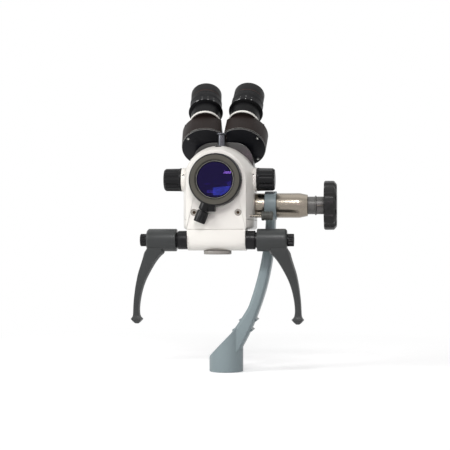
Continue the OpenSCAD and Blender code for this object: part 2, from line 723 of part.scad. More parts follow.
// Focus knob on its radial shaft, in a boss on the ring's rim
boss_rise = 10;
focus_r0 = ring_d / 2 + boss_rise + gap;
boss_block_w = 9;
boss_block_h = 10;
module focus_boss() color("#1a1a1c") difference() {
  union() {
    at_focus() cylinder(h = focus_r0 - gap, d = focus_knob_d - over);
    in_head() translate([-boss_block_w, -ring_l + 2 * over, -ring_d / 2 - boss_block_h + 2 * over])
      cube([boss_block_w, ring_l - 2 * over, boss_block_h]);
  }
  in_head() rod_y(-ring_l - over, over, ring_d / 2);
  at_focus() cylinder(h = focus_r0, d = shaft_d + 2 * fit);
}

focus_ribs = 14;
module focus_knob() color("#161617") at_focus() {
  difference() {
    translate([0, 0, focus_r0]) cylinder(h = focus_knob_l, d = focus_knob_d);
    for (k = [0 : focus_ribs - 1]) rotate([0, 0, k * 360 / focus_ribs])
      translate([focus_knob_d / 2 + rib_r / 2, 0, focus_r0 + over]) cylinder(h = focus_knob_l, r = rib_r);
  }
  translate([0, 0, cell_d / 2 + gap]) cylinder(h = focus_r0 - cell_d / 2, d = shaft_d);
  translate([0, 0, lens_d / 2 + 2 * gap]) cylinder(h = (cell_d - lens_d) / 2, r = pinion_r);
}

// Magnification drum with two lens channels and one open one
beam_x = 10.5;
mag_lens_d = 12;
mag_lens_t = 3;
mag_step = 60;
module at_mag() in_head() translate([0, mag_y, mag_z]) children();
mag_core_r = 13.5;
mag_end_t = 3;
module magnification_drum() color("#3a3b3d") at_mag() difference() {
  rod_x(-mag_half, mag_half, drum_cell_d / 2);
  rod_x(mag_end_t - mag_half, mag_half - mag_end_t, mag_core_r);
  for (k = [0 : 5], s = [-1, 1]) rotate([k * mag_step, 0, 0]) translate([s * beam_x, 0, 0])
    rod_y(mag_core_r / 2, drum_cell_d, mag_lens_d / 2);
  rod_x(-mag_half - over, mag_half + over, shaft_r);
}
module drum_lenses() color("#bcd0dc", 0.5) at_mag()
  for (k = [1, 2, 4, 5], s = [-1, 1]) rotate([k * mag_step, 0, 0]) translate([s * beam_x, 0, 0])
    rod_y(drum_cell_d / 2 - 2 * mag_lens_t, drum_cell_d / 2 - mag_lens_t, mag_lens_d / 2);
module magnification_shaft() color("#b5b3ae") at_mag() for (turn = [0, 180])
  rotate([0, turn, 0]) rod_x(mag_half - mag_end_t, knob_x1 - over, shaft_r);

knob_flutes = 9;
flute_r = 3.2;
knob_cap_l = 3;
module mag_knob(side) at_mag() mirror([side < 0 ? 1 : 0, 0, 0]) difference() {
  union() {
    cone_x(knob_x0, knob_x1 - knob_cap_l / 2, mag_knob_d / 2, mag_knob_d / 2 - over / 2);
    rod_x(knob_x0, knob_x1, mag_knob_d / 2 - knob_cap_l / 2);
  }
  for (k = [0 : knob_flutes - 1]) rotate([(k + 0.5) * 360 / knob_flutes, 0, 0])
    translate([0, mag_knob_d / 2 + flute_r / 2, 0]) rod_x(knob_x0 + knob_cap_l, knob_x1 + over, flute_r);
  rod_x(knob_x0 - over, knob_x1 - over, shaft_r);
}
module left_magnification_knob() color("#141415") mag_knob(-1);
module right_magnification_knob() color("#141415") mag_knob(1);

// Tube base: a rounded shell between the rear cover and the drums' plane
base_y0 = body_depth + gap;
base_low = 34;
base_round = 28;
base_rise = 2;
base_lip = 6;
base_back = drum_d / 2 + base_lip;
module base_front(inset) {
  half = base_half - inset;
  top = tube_z + (tube_y - base_y0) / tan(tube_tilt);
  r = base_round - inset;
  translate([-half, inset - base_low]) square([2 * half, top - inset - r - inset + base_low]);
  translate([-half + r, inset - base_low]) square([2 * (half - r), top - 2 * inset + base_low]);
  for (s = [-1, 1]) translate([s * (half - r), top - inset - r]) circle(r = r);
}
module base_side(inset) {
  c = cos(tube_tilt);
  s = sin(tube_tilt);
  y = base_y0 + inset;
  drop = 3 * inset / 2 - base_rise;
  y2 = tube_y + base_back * c - s * drop - inset / 2;
  polygon([[y, inset - base_low], [y, tube_z + ((tube_y - y) * s - drop) / c],
    [y2, tube_z + ((tube_y - y2) * s - drop) / c], [y2, -inset], [base_y0 + base_low / 2, inset - base_low]]);
}
module base_form(inset) intersection() {
  translate([0, 2 * body_depth, 0]) rotate([90, 0, 0]) linear_extrude(2 * body_depth) base_front(inset);
  translate([-2 * base_half, 0, 0]) rotate([90, 0, 90]) linear_extrude(4 * base_half) base_side(inset);
}
module tube_base() color("#4c4d50") difference() {
  in_head() difference() {
    union() {
      base_form(0);
      rod_y(spigot_y, base_y0 + over, spigot_d / 2);
    }
    base_form(base_wall);
    rod_y(spigot_y - over, base_y0 + base_wall + over, spigot_bore_r);
  }
  for (s = [-1, 1]) tube_side(s) {
    translate([-2 * drum_d, -2 * drum_d, -gap]) cube(4 * drum_d);
    translate([0, 0, -base_wall - base_rise]) cylinder(h = 2 * base_wall, r = light_r);
  }
}

// The head's fixed prisms: the one over the lamp and the pair that turns the beams up to the drums
module head_prisms() color("#bcd0dc", 0.5) {
  light_prism();
  in_head() for (s = [-1, 1])
    translate([s * drum_x - prism_l / 2, base_y0 + base_wall, mag_z - prism_l / 2])
      rotate([90, 0, 90]) linear_extrude(prism_l) polygon([[0, 0], [prism_l, prism_l], [0, prism_l]]);
}

// Drum outline: round, with a flat towards its twin and a second flat that clears it in the swing
cover_t = 3;
gear_t = 2;
module drum_outline(inset, flat) intersection() {
  circle(r = drum_d / 2 - inset);
  translate([inset - flat, -drum_d]) square([2 * drum_d, 2 * drum_d]);
  rotate([0, 0, -drum_swing]) translate([inset - flat - gap, -drum_d]) square([2 * drum_d, 2 * drum_d]);
}
drum_wall = 3;
insert_d = 30;
lug_d = 4;
lug_angle = 30;
module drum(side) tube_side(side) difference() {
  union() {
    translate([0, 0, cover_t]) linear_extrude(drum_t - cover_t) drum_outline(0, flat_x);
    translate([0, -tube_offset, drum_t - over]) cylinder(h = ring_h + eye_tube_l + over, d = eye_tube_d);
    translate([drum_d / 2 * cos(lug_angle) - lug_d / 2, -drum_d / 2 * sin(lug_angle), drum_t - over])
      cylinder(h = 2 * over, d = lug_d);
  }
  translate([0, 0, cover_t - over]) linear_extrude(drum_t - cover_t - drum_wall + over)
    drum_outline(drum_wall, flat_x);
  translate([0, -tube_offset, drum_t - drum_wall - over])
    cylinder(h = drum_wall + ring_h + eye_tube_l + 2 * over, d = insert_d + 2 * fit);
  gear_slot();
}
module left_drum() color("#2e2a28") drum(-1);
module right_drum() color("#2e2a28") drum(1);

cover_screw_r = 30;
cover_screw_d = 4.6;
cover_screw_angles = [-38, 42, 105];
module at_cover_screws() for (a = cover_screw_angles) rotate([0, 0, a])
  translate([cover_screw_r, 0, 0]) children();
module drum_cover(side) tube_side(side) difference() {
  linear_extrude(cover_t) drum_outline(gap, flat_x - cover_t);
  translate([0, 0, -over]) cylinder(h = cover_t + 2 * over, r = light_r + over);
  at_cover_screws() translate([0, 0, -over]) cylinder(h = cover_t / 2 + over, d = cover_screw_d + 4 * fit);
}
module left_drum_cover() color("#1d1e22") drum_cover(-1);
module right_drum_cover() color("#1d1e22") drum_cover(1);

module cover_screws(side) tube_side(side) at_cover_screws() difference() {
  translate([0, 0, 2 * fit]) cylinder(h = cover_t / 2 - 2 * fit, d = cover_screw_d);
  translate([0, 0, -over]) cylinder(h = 2 * over, d = cover_screw_d / 2, $fn = 6);
}
module left_cover_screws() color("#c8c8cc") cover_screws(-1);
module right_cover_screws() color("#c8c8cc") cover_screws(1);

// Gear sectors that couple the drums; they mesh in the middle plane
gear_teeth = 36;
gear_z = drum_t / 2;
gear_r = (drum_x + (gear_z + gear_t / 2) * sin(tube_spread)) / cos(tube_spread);
gear_m = 2 * gear_r / gear_teeth;
gear_spare_angle = 14;
gear_half = drum_swing + gear_spare_angle;
gear_side = 3;
tooth_step = 360 / gear_teeth;
tooth_shares = [0.34, 0.11];
// Tooth tip, rim, tooth foot and band, each from the pitch line in shares of the module
gear_shares = [0.75, 1.25, 1.6, 6];
module gear_wedge(half) polygon([[0, 0], for (s = [-1, 1]) 2 * drum_d * [-1, s * tan(half)]]);
module gear_slot() translate([0, 0, gear_z]) linear_extrude(gear_t + gap) intersection() {
  difference() {
    circle(r = 2 * drum_d);
    circle(r = flat_x - drum_wall - over);
  }
  gear_wedge(gear_half + over);
}
function tooth_at(r, a) = r * [-cos(a), sin(a)];
module gear(side) tube_side(side) translate([0, 0, gear_z]) linear_extrude(gear_t) {
  turn = side < 0 ? 0 : 0.5;
  root_a = tooth_step * tooth_shares[0];
  tip_a = tooth_step * tooth_shares[1];
  intersection() {
    difference() {
      circle(r = gear_r - gear_m * gear_shares[1]);
      circle(r = gear_r - gear_m * gear_shares[3]);
    }
    gear_wedge(gear_half);
  }
  r0 = gear_r - gear_m * gear_shares[2];
  r1 = gear_r + gear_m * gear_shares[0];
  for (k = [-gear_side : gear_side - 2 * turn]) rotate([0, 0, (k + turn) * tooth_step])
    polygon([tooth_at(r0, -root_a), tooth_at(r0, root_a), tooth_at(r1, tip_a), tooth_at(r1, -tip_a)]);
}
module left_gear() color("#b5b3ae") gear(-1);
module right_gear() color("#b5b3ae") gear(1);

// Rhomboid prism that carries the light from the drum's axis to the eye tube
rhomb = 9;
module prism(side) tube_side(side) translate([-rhomb, 0, cover_t]) rotate([90, 0, 90])
  linear_extrude(2 * rhomb) polygon([[rhomb, 0], [rhomb - tube_offset, 0],
    [-rhomb - tube_offset, 2 * rhomb], [-rhomb, 2 * rhomb]]);
module left_prism() color("#bcd0dc", 0.5) prism(-1);
module right_prism() color("#bcd0dc", 0.5) prism(1);

module tube_ring(side) on_eye_tube(side) translate([0, 0, drum_t])
  tube(ring_h, flange_d / 2, eye_tube_d / 2 + fit);
module left_tube_ring() color("#e6e6e4") tube_ring(-1);
module right_tube_ring() color("#e6e6e4") tube_ring(1);

// Eyepiece: insert, sharp-edged flange and the core that carries ring, cup and lens
core_d = 34;
eye_lens_d = 26;
eye_lens_t = 5;
insert_l = 16;
// The eyecup's guide keeps this hold on the core when the cup is drawn out
cup_hold = 4;
cup_guide = eyecup_travel + cup_hold;
core_top = eyecup_z + cup_guide;
module eyepiece(side) on_eye_tube(side) difference() {
  union() {
    translate([0, 0, tube_top - insert_l]) cylinder(h = insert_l + over, d = insert_d);
    translate([0, 0, tube_top]) cylinder(h = flange_h / 2, d1 = eye_tube_d, d2 = flange_d);
    translate([0, 0, tube_top + flange_h / 2]) cylinder(h = flange_h / 2, d1 = flange_d, d2 = dioptre_d);
    translate([0, 0, dioptre_z - over]) cylinder(h = core_top - dioptre_z + over, d = core_d);
  }
  translate([0, 0, tube_top - insert_l - over])
    cylinder(h = core_top - tube_top + insert_l + 2 * over, d = insert_d - 2 * drum_wall);
  translate([0, 0, core_top - eye_lens_t]) cylinder(h = 2 * eye_lens_t, d = eye_lens_d);
}
module left_eyepiece() color("#1e1e20") eyepiece(-1);
module right_eyepiece() color("#1e1e20") eyepiece(1);

module dioptre_ring(side) on_eye_tube(side) translate([0, 0, dioptre_z + fit])
  tube(dioptre_l - gap, dioptre_d / 2, core_d / 2 + fit);
module left_dioptre_ring() color("#2c2c2d") dioptre_ring(-1);
module right_dioptre_ring() color("#2c2c2d") dioptre_ring(1);

cup_round = 1.2;
module eyecup(side) on_eye_tube(side) translate([0, 0, eyecup_z]) rotate_extrude() {
  r = eyecup_d / 2;
  r0 = core_d / 2 + fit;
  polygon([[r0, 0], [r, 0], [r, eyecup_l - cup_round], [r - 2 * cup_round, eyecup_l - cup_round],
    [r0, cup_guide]]);
  translate([r - cup_round, eyecup_l - cup_round]) circle(r = cup_round);
}
module left_eyecup() color("#343436") eyecup(-1);
module right_eyecup() color("#343436") eyecup(1);

module eye_lens(side) on_eye_tube(side) translate([0, 0, core_top - eye_lens_t])
  cylinder(h = eye_lens_t - over, d = eye_lens_d - 2 * fit);
module left_eye_lens() color("#8fa7b5", 0.6) eye_lens(-1);
module right_eye_lens() color("#8fa7b5", 0.6) eye_lens(1);

swan_arm();
arm_socket();
socket_bush();
cable_clips();
tilt_barrel();
disc_springs();
thrust_sleeve();
handwheel();
tilt_spindle();
housing();
front_plate();
rear_cover();
bottom_tray();
handle_block();
block_cap();
front_screws();
objective_ring();
focus_boss();
light_box();
head_prisms();
led_lamp();
filter_slide();
green_filter();
filter_knob();
magnification_drum();
drum_lenses();
magnification_shaft();
left_magnification_knob();
right_magnification_knob();
lens_cell();
objective_lens();
lens_retainer();
focus_knob();
handle_bar();
left_handle();
right_handle();
left_end_screw();
right_end_screw();
tube_base();
tube_clamp_screw();
left_drum();
left_drum_cover();
left_cover_screws();
left_gear();
left_prism();
left_tube_ring();
left_eyepiece();
left_dioptre_ring();
left_eyecup();
left_eye_lens();
right_drum();
right_drum_cover();
right_cover_screws();
right_gear();
right_prism();
right_tube_ring();
right_eyepiece();
right_dioptre_ring();
right_eyecup();
right_eye_lens();
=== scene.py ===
"""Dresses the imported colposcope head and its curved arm, and sets the stage for its picture.

Sizes in the profile tables are millimetres, measured from the middle of the front plate's face on
the optical axis. Blender works in metres.
"""
import json
import math

import bmesh
import bpy
from bpy.props import FloatProperty, FloatVectorProperty, IntProperty, PointerProperty
from mathutils import Matrix, Vector


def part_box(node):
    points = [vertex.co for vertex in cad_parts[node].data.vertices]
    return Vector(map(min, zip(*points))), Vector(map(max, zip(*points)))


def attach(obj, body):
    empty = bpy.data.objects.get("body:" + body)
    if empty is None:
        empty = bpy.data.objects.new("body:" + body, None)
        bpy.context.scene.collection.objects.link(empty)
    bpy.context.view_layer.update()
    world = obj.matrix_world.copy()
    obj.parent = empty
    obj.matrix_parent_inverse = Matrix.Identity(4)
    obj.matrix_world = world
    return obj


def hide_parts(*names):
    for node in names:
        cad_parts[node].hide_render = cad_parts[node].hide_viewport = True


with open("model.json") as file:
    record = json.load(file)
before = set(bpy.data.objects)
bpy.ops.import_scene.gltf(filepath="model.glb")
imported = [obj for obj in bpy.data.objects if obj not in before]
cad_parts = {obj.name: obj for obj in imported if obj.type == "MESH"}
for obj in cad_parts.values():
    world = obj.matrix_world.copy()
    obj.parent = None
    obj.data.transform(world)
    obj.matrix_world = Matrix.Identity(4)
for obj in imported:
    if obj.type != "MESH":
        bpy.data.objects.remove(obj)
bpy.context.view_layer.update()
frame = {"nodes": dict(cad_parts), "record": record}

bl_info = {
    "name": "Colposcope head",
    "version": (1, 0, 0),
    "blender": (4, 5, 0),
    "location": "View3D > Sidebar > Colposcope",
    "description": "Dresses the packed colposcope head and its curved arm",
    "category": "Add Mesh",
}

MM = 0.001
MERGE = 0.000002
SMOOTH_ANGLE = 32
TURN = 2 * math.pi


def middle(node):
    """The middle of a CAD node's box."""
    low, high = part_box(node)
    return (low + high) / 2


def span(node):
    """The size of a CAD node's box."""
    low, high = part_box(node)
    return high - low


# All head sizes start here: on the optical axis, in the front plate's face
HEAD = Vector((middle("front_plate").x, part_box("front_plate")[0].y, middle("objective_lens").z))
HOME = Matrix.Translation(HEAD)
ALONG_X = Matrix.Rotation(math.radians(90), 4, "Y")
ALONG_Y = Matrix.Rotation(math.radians(-90), 4, "X")
MIRROR = Matrix.Scale(-1, 4, (1, 0, 0))

# Axes and holes of the head, in the head's own sizes
TILT = (0, 55, -33)
KNOBS = (0, 42, 2.5)
FILTER = (0, 18, -48)
HANDLES = (0, 10.5, -80.7)
ROOF_HOLE = (0, 25, 0)
FRONT_SCREWS = ((29.6, 0, -43.5), (-29.6, 0, -43.5))
CLAMP_HOLE = (0, (middle("tube_clamp_screw").y - HEAD.y) / MM, 0)

# The stand socket: the height of its low side, and the room for its bush
SOCKET_LOW_SIDE = 20.5
BUSH_R, BUSH_DEPTH = 15, 24

# Radii of the bores that several pieces share
SPINDLE_BORE = 8.05
CLAMP_BORE = 3.47
KNOB_BORE = 4.05
NECK_BORE = 30.05
FOCUS_BORE = 3.05
BAR_BORE = 7.05
EYE_BORE = 15.05
DIOPTRE_BORE = 17.05


def tone(code):
    """A web colour as the linear colour that Blender wants."""
    def level(pair):
        value = int(pair, 16) / 255
        return value / 12.92 if value <= 0.04045 else ((value + 0.055) / 1.055) ** 2.4
    return tuple(level(code[k:k + 2]) for k in (0, 2, 4))


def length(name, text, default):
    """A length that the panel shows, in metres."""
    return FloatProperty(name=name, description=text, default=default, min=0, unit="LENGTH")


def angle(name, text, degrees):
    """An angle that the panel shows."""
    return FloatProperty(name=name, description=text, default=math.radians(degrees), subtype="ANGLE")


def colour(name, text, code):
    """A colour that the panel shows."""
    return FloatVectorProperty(name=name, description=text, default=tone(code), size=3, min=0,
                               max=1, subtype="COLOR")


class ColposcopeSizes(bpy.types.PropertyGroup):
    """Sizes that a user would change. Those of the CAD pieces start at the CAD's value."""
    edge: length("Edge", "Rounding of machined edges", 0.0004)
    arm_bend: length("Arm curve", "Radius of the arm's curve", 0.370)
    arm_sweep: angle("Arm sweep", "Angle of the arm's curve", 30.806)
    arm_top: length("Arm thickness at the eye", "Thickness of the arm at its upper end", 0.012)
    arm_foot: length("Arm thickness at the foot", "Thickness of the arm at its lower end", 0.015)
    arm_flare: length("Arm flare", "Growth of the inner side down to the foot", 0.011)
    arm_depth: length("Arm depth", "Depth of the arm from front to back", 0.036)
    arm_chamfer: length("Arm chamfer", "Chamfer along the arm's corners", 0.0033)
    eye: length("Arm eye", "Diameter of the arm's eye", 0.0394)
    socket: length("Stand socket", "Diameter of the stand socket", 0.047)
    mitre: angle("Mitre", "Slope of the socket's top", 46)
    barrel: length("Tilt barrel", "Diameter of the steel barrel", span("tilt_barrel").z)
    wheel: length("Handwheel", "Diameter of the handwheel", 0.068)
    wheel_lobes: IntProperty(name="Lobes", description="Grips round the handwheel", default=10, min=3)
    plate_half: length("Plate half width", "Half the front plate's width", span("front_plate").x / 2)
    body_half: length("Body half width", "Half the housing's width", 0.0486)
    body_drop: length("Body drop", "Housing's floor below the optical axis", 0.0665)
    ring: length("Objective ring", "Diameter of the objective ring", span("objective_ring").x)
    lens: length("Objective lens", "Free diameter of the objective lens", 0.0476)
    focus_turn: angle("Focus knob angle", "Angle of the focus knob from straight down", 21)
    knob: length("Magnification knob", "Diameter of the magnification knobs", 0.032)
    knob_flutes: IntProperty(name="Flutes", description="Flutes of a magnification knob", default=9,
                             min=3)
    grip: length("Handle barrel", "Diameter of the handle barrels", 0.0306)
    reach: length("Handle reach", "Reach of a handle from its axis to its tip", 0.1132)
    tube_tilt: angle("Tube tilt", "Angle of the tubes from upright", 45)
    tube_spread: angle("Tube spread", "Spread of each tube from the middle", 3.7)
    drum: length("Prism drum", "Diameter of the prism drums", 0.069)
    flange: length("Flange", "Diameter of the eyepiece flange", 0.050)
    dioptre: length("Dioptre ring", "Diameter of the dioptre ring", 0.046)
    eyecup: length("Eyecup", "Diameter of the eyecup", 0.0444)


class ColposcopeColours(bpy.types.PropertyGroup):
    """Colours of the finishes."""
    arm: colour("Arm paint", "Blue-grey paint of the arm", "869396")
    white: colour("Body paint", "Warm white paint of the housing", "e6e3dc")
    plate: colour("Plate paint", "Warm white paint of the front plate and block", "e8e6df")
    drum: colour("Drum", "Brown-black finish of the prism drums", "1b120f")
    cover: colour("Drum cover", "Blue-black finish of the drum covers", "121318")
    anodised: colour("Anodised black", "Black anodised aluminium", "101012")
    # The ring's front is painted olive-grey, lighter than its black sides: a painted sheen where the front
    # light falls
    ring: colour("Ring front", "Olive-grey front of the objective ring", "504e47")
    knob: colour("Knob", "Black plastic of the knobs", "0e0e10")
    wheel: colour("Handwheel", "Dark grey plastic of the handwheel", "1d1d1d")
    lever: colour("Handle", "Charcoal paint of the handles", "353737")
    rubber: colour("Rubber", "Black rubber of the eyecups", "0f0f10")
    steel: colour("Steel", "Turned steel", "8c8479")
    bright: colour("Bright screws", "Polished screws", "9c9c99")
    lens: colour("Lens coating", "Violet-blue coating of the objective", "a08cff")
    glass: colour("Glass", "Clear optical glass", "c8dbe6")
    filter: colour("Green filter", "Green filter glass", "2f9e57")
    lamp: colour("Lamp", "Pale yellow of the lamp", "e6e0b0")
    cap: colour("Cap", "Pale grey cap under the block", "8a8681")


class ColposcopeStudio(bpy.types.PropertyGroup):
    """Camera and lights."""
    lens: FloatProperty(name="Lens", description="Focal length", default=96.24, unit="CAMERA")
    place: FloatVectorProperty(name="Place", description="Place of the camera", size=3,
                               default=(0.18413, -1.65860, 0.18153), subtype="TRANSLATION")
    yaw: angle("Yaw", "Turn of the camera to the left", 6.4)
    pitch: angle("Pitch", "Turn of the camera upwards", 0.71)
    key: FloatProperty(name="Key light", description="Power of the softbox on the left", default=26,
                       unit="POWER")
    fill: FloatProperty(name="Fill light", description="Power of the light on the right", default=1.5,
                        unit="POWER")
    top: FloatProperty(name="Top light", description="Power of the light above", default=3.5,
                       unit="POWER")
    front: FloatProperty(name="Front light", description="Power of the light over the camera",
                         default=22, unit="POWER")
    glint: FloatProperty(name="Glint", description="Power of the small light by the camera",
                         default=2, unit="POWER")
    sky: FloatProperty(name="Room light", description="Strength of the room's plain light",
                       default=0.2)


# Steps of a modeller's hand

def quiet():
    """Leaves edit mode and deselects everything, so that an operator acts on one piece alone."""
    if bpy.context.mode != "OBJECT":
        bpy.ops.object.mode_set(mode="OBJECT")
    bpy.ops.object.select_all(action="DESELECT")


def freeze():
    """Leaves the chosen piece's move, turn and scale in its mesh."""
    bpy.ops.object.transform_apply(location=True, rotation=True, scale=True)


def take(piece, mode="OBJECT"):
    """Selects one piece alone."""
    quiet()
    piece.select_set(True)
    bpy.context.view_layer.objects.active = piece
    if mode == "EDIT":
        bpy.ops.object.mode_set(mode="EDIT")
        bpy.ops.mesh.select_all(action="SELECT")


def pick(test, kind="VERT"):
    """Selects the vertices, edges or faces that pass a test, in edit mode."""
    bpy.ops.mesh.select_mode(type=kind)
    bpy.ops.mesh.select_all(action="DESELECT")
    mesh = bpy.context.edit_object.data
    shape = bmesh.from_edit_mesh(mesh)
    for part in {"VERT": shape.verts, "EDGE": shape.edges, "FACE": shape.faces}[kind]:
        if test(part):
            part.select_set(True)
    shape.select_flush_mode()
    bmesh.update_edit_mesh(mesh)


def mend():
    """Merges doubles and turns all faces outwards, in edit mode."""
    bpy.ops.mesh.select_mode(type="VERT")
    bpy.ops.mesh.select_all(action="SELECT")
    bpy.ops.mesh.remove_doubles(threshold=MERGE)
    bpy.ops.mesh.normals_make_consistent(inside=False)


def cut_off(spot, normal):
    """Cuts away what lies beyond a plane and fills the cut, in edit mode."""
    bpy.ops.mesh.select_all(action="SELECT")
    bpy.ops.mesh.bisect(plane_co=spot, plane_no=normal, use_fill=True, clear_outer=True)


def done(name):
    """Leaves edit mode with the piece named, and returns it."""
    piece = bpy.context.edit_object or bpy.context.object
    quiet()
    piece.name = piece.data.name = name
    return piece


def apply(piece, kind, **settings):
    """Adds a modifier and applies it."""
    take(piece)
    change = piece.modifiers.new(kind, kind)
    for key, value in settings.items():
        setattr(change, key, value)
    bpy.ops.object.modifier_apply(modifier=change.name)
    return piece


def bevel(piece, width, steps=2, least=30):
    """Rounds every edge that is sharper than an angle."""
    return apply(piece, "BEVEL", width=width * MM, segments=steps, limit_method="ANGLE",
                 angle_limit=math.radians(least), use_clamp_overlap=False)


def combine(piece, how, *tools):
    """Cuts tools out of a piece, or joins them to it, and removes the tools."""
    for tool in tools:
        apply(piece, "BOOLEAN", operation=how, solver="EXACT", object=tool)
        bpy.data.objects.remove(tool)
    return piece


def place(piece, matrix):
    """Moves a piece and leaves the move in its mesh."""
    take(piece)
    piece.matrix_world = matrix
    freeze()
    if matrix.determinant() < 0:
        take(piece, "EDIT")
        bpy.ops.mesh.normals_make_consistent(inside=False)
        quiet()
    return piece


def joined(pieces):
    """Joins pieces into the first of them."""
    take(pieces[0])
    for piece in pieces[1:]:
        piece.select_set(True)
    bpy.ops.object.join()
    return pieces[0]


def copied(piece, name):
    """A copy with its own mesh."""
    take(piece)
    bpy.ops.object.duplicate()
    return done(name)


def at(x, y, z):
    """The move from the head's own sizes, in millimetres."""
    return Matrix.Translation(HEAD + Vector((x, y, z)) * MM)


def softened(points, round_by, closed, steps=3):
    """A profile with rounded corners. A corner's own radius may stand third in its point."""
    made = []
    for k, point in enumerate(points):
        here = Vector(point[:2])
        radius = point[2] if len(point) > 2 else round_by
        if radius == 0 or not closed and k in (0, len(points) - 1):
            made.append(here)
            continue
        before = Vector(points[k - 1][:2]) - here
        after = Vector(points[(k + 1) % len(points)][:2]) - here
        half = before.angle(after) / 2
        back = min(radius / math.tan(half), 0.45 * before.length, 0.45 * after.length)
        first, last = here + before.normalized() * back, here + after.normalized() * back
        for j in range(steps + 1):
            t = j / steps
            made.append(first * (1 - t) ** 2 + here * 2 * t * (1 - t) + last * t * t)
    return made


def draw(points):
    """Draws a line through points in millimetres by extruding one vertex, and stays in edit mode."""
    quiet()
    bpy.ops.mesh.primitive_plane_add(size=MM, enter_editmode=True)
    bpy.ops.mesh.merge(type="CENTER")
    bpy.ops.transform.translate(value=points[0] * MM)
    for here, there in zip(points, points[1:]):
        bpy.ops.mesh.extrude_vertices_move(TRANSFORM_OT_translate={"value": (there - here) * MM})


def extruded(name, outline, shift):
    """Fills a closed outline and extrudes it along a vector, all in millimetres."""
    draw(outline + outline[:1])
    bpy.ops.mesh.select_all(action="SELECT")
    bpy.ops.mesh.remove_doubles(threshold=MERGE)
    bpy.ops.mesh.edge_face_add()
    bpy.ops.mesh.extrude_region_move(TRANSFORM_OT_translate={"value": Vector(shift) * MM})
    mend()
    return done(name)


def turned(name, points, sides=96, edge=0.4):
    """Spins a profile of (height, radius, rounding) about +Z into a closed piece."""
    ring = points[0][1] > 0
    corners = [Vector((p.y, 0, p.x)) for p in softened(points, edge, ring)]
    draw(corners + corners[:1] if ring else corners)
    bpy.ops.mesh.select_all(action="SELECT")
    bpy.ops.mesh.spin(steps=sides, angle=TURN, center=(0, 0, 0), axis=(0, 0, 1))
    mend()
    return done(name)


def rod(radius, low, high, turn=None, sides=64):
    """A plain cylinder along Z, then turned, as a tool for a cut."""
    quiet()
    bpy.ops.mesh.primitive_cylinder_add(vertices=sides, radius=radius * MM, depth=(high - low) * MM,
                                        location=(0, 0, (low + high) / 2 * MM))
    freeze()
    piece = done("Tool")
    return place(piece, turn) if turn else piece


def box(low, high):
    """A plain box between two corners in millimetres."""
    quiet()
    low, high = Vector(low), Vector(high)
    bpy.ops.mesh.primitive_cube_add(size=MM, location=(low + high) / 2 * MM, scale=high - low)
    freeze()
    return done("Tool")


def moved(x=0.0, y=0.0, z=0.0):
    """A move in millimetres."""
    return Matrix.Translation(Vector((x, y, z)) * MM)


def fluted(piece, count, depth, low, high, inner):
    """Presses flutes into the side of a piece about Z: depth(share) gives each vertex its depth."""
    take(piece, "EDIT")
    shape = bmesh.from_edit_mesh(piece.data)
    depths = {}
    for vertex in shape.verts:
        x, y, z = vertex.co / MM
        if low < z < high and math.hypot(x, y) > inner:
            share = math.atan2(y, x) / TURN * count % 1
            deep = round(depth(min(share, 1 - share)), 3)
            if deep > 0:
                depths.setdefault((deep, round(math.hypot(x, y), 2)), []).append(vertex.index)
    for (deep, radius), numbers in depths.items():
        chosen = set(numbers)
        pick(lambda vertex: vertex.index in chosen)
        size = 1 - deep / radius
        bpy.ops.transform.resize(value=(size, size, 1), center_override=(0, 0, 0))
    quiet()
    return piece


def arch(half, drop, y, corner, sides=96):
    """Draws the housing's arch outline at y, with rounded lower corners, in edit mode."""
    quiet()
    bpy.ops.mesh.primitive_circle_add(vertices=sides, radius=half * MM, location=(0, y * MM, 0),
                                      rotation=(math.pi / 2, 0, 0))
    freeze()
    bpy.ops.object.mode_set(mode="EDIT")
    pick(lambda vertex: vertex.co.z < -MERGE)
    bpy.ops.mesh.delete(type="VERT")
    pick(lambda vertex: abs(vertex.co.z) < MERGE)
    bpy.ops.mesh.extrude_vertices_move(TRANSFORM_OT_translate={"value": (0, 0, -drop * MM)})
    bpy.ops.mesh.edge_face_add()
    if corner:
        bpy.ops.mesh.bevel(affect="VERTICES", offset=corner * MM, segments=8)


def stretch_arch(y, width):
    """Widens the arch at y: all of it sideways, and its round top upwards too."""
    pick(lambda v: abs(v.co.y - y * MM) < MERGE and v.co.z >= -MERGE)
    bpy.ops.transform.resize(value=(width, 1, width), center_override=(0, y * MM, 0))
    pick(lambda v: abs(v.co.y - y * MM) < MERGE and v.co.z < -MERGE)
    bpy.ops.transform.resize(value=(width, 1, 1), center_override=(0, y * MM, 0))
    pick(lambda v: abs(v.co.y - y * MM) < MERGE)


def slab(name, half, drop, y0, y1, corner, sides=96):
    """A plate in the arch outline."""
    arch(half, drop, y0, corner, sides)
    bpy.ops.mesh.select_all(action="SELECT")
    bpy.ops.mesh.edge_face_add()
    bpy.ops.mesh.extrude_region_move(TRANSFORM_OT_translate={"value": (0, (y1 - y0) * MM, 0)})
    mend()
    return done(name)


def lofted(name, rings):
    """Skins rings of points by extruding the first ring to each next one's place and size."""
    first = rings[0]["outline"]
    draw([Vector(p) for p in first + first[:1]])
    bpy.ops.mesh.select_all(action="SELECT")
    bpy.ops.mesh.remove_doubles(threshold=MERGE)
    bpy.ops.mesh.select_mode(type="EDGE")
    bpy.ops.mesh.select_all(action="SELECT")
    for here, there in zip(rings, rings[1:]):
        bpy.ops.mesh.extrude_edges_move(
            TRANSFORM_OT_translate={"value": (there["centre"] - here["centre"]) * MM})
        size = [b / a for a, b in zip(here["size"], there["size"])]
        bpy.ops.transform.resize(value=(size[0], size[1], 1), center_override=there["centre"] * MM)
    bpy.ops.mesh.select_all(action="SELECT")
    bpy.ops.mesh.fill_holes(sides=0)
    mend()
    return done(name)


# Finishes

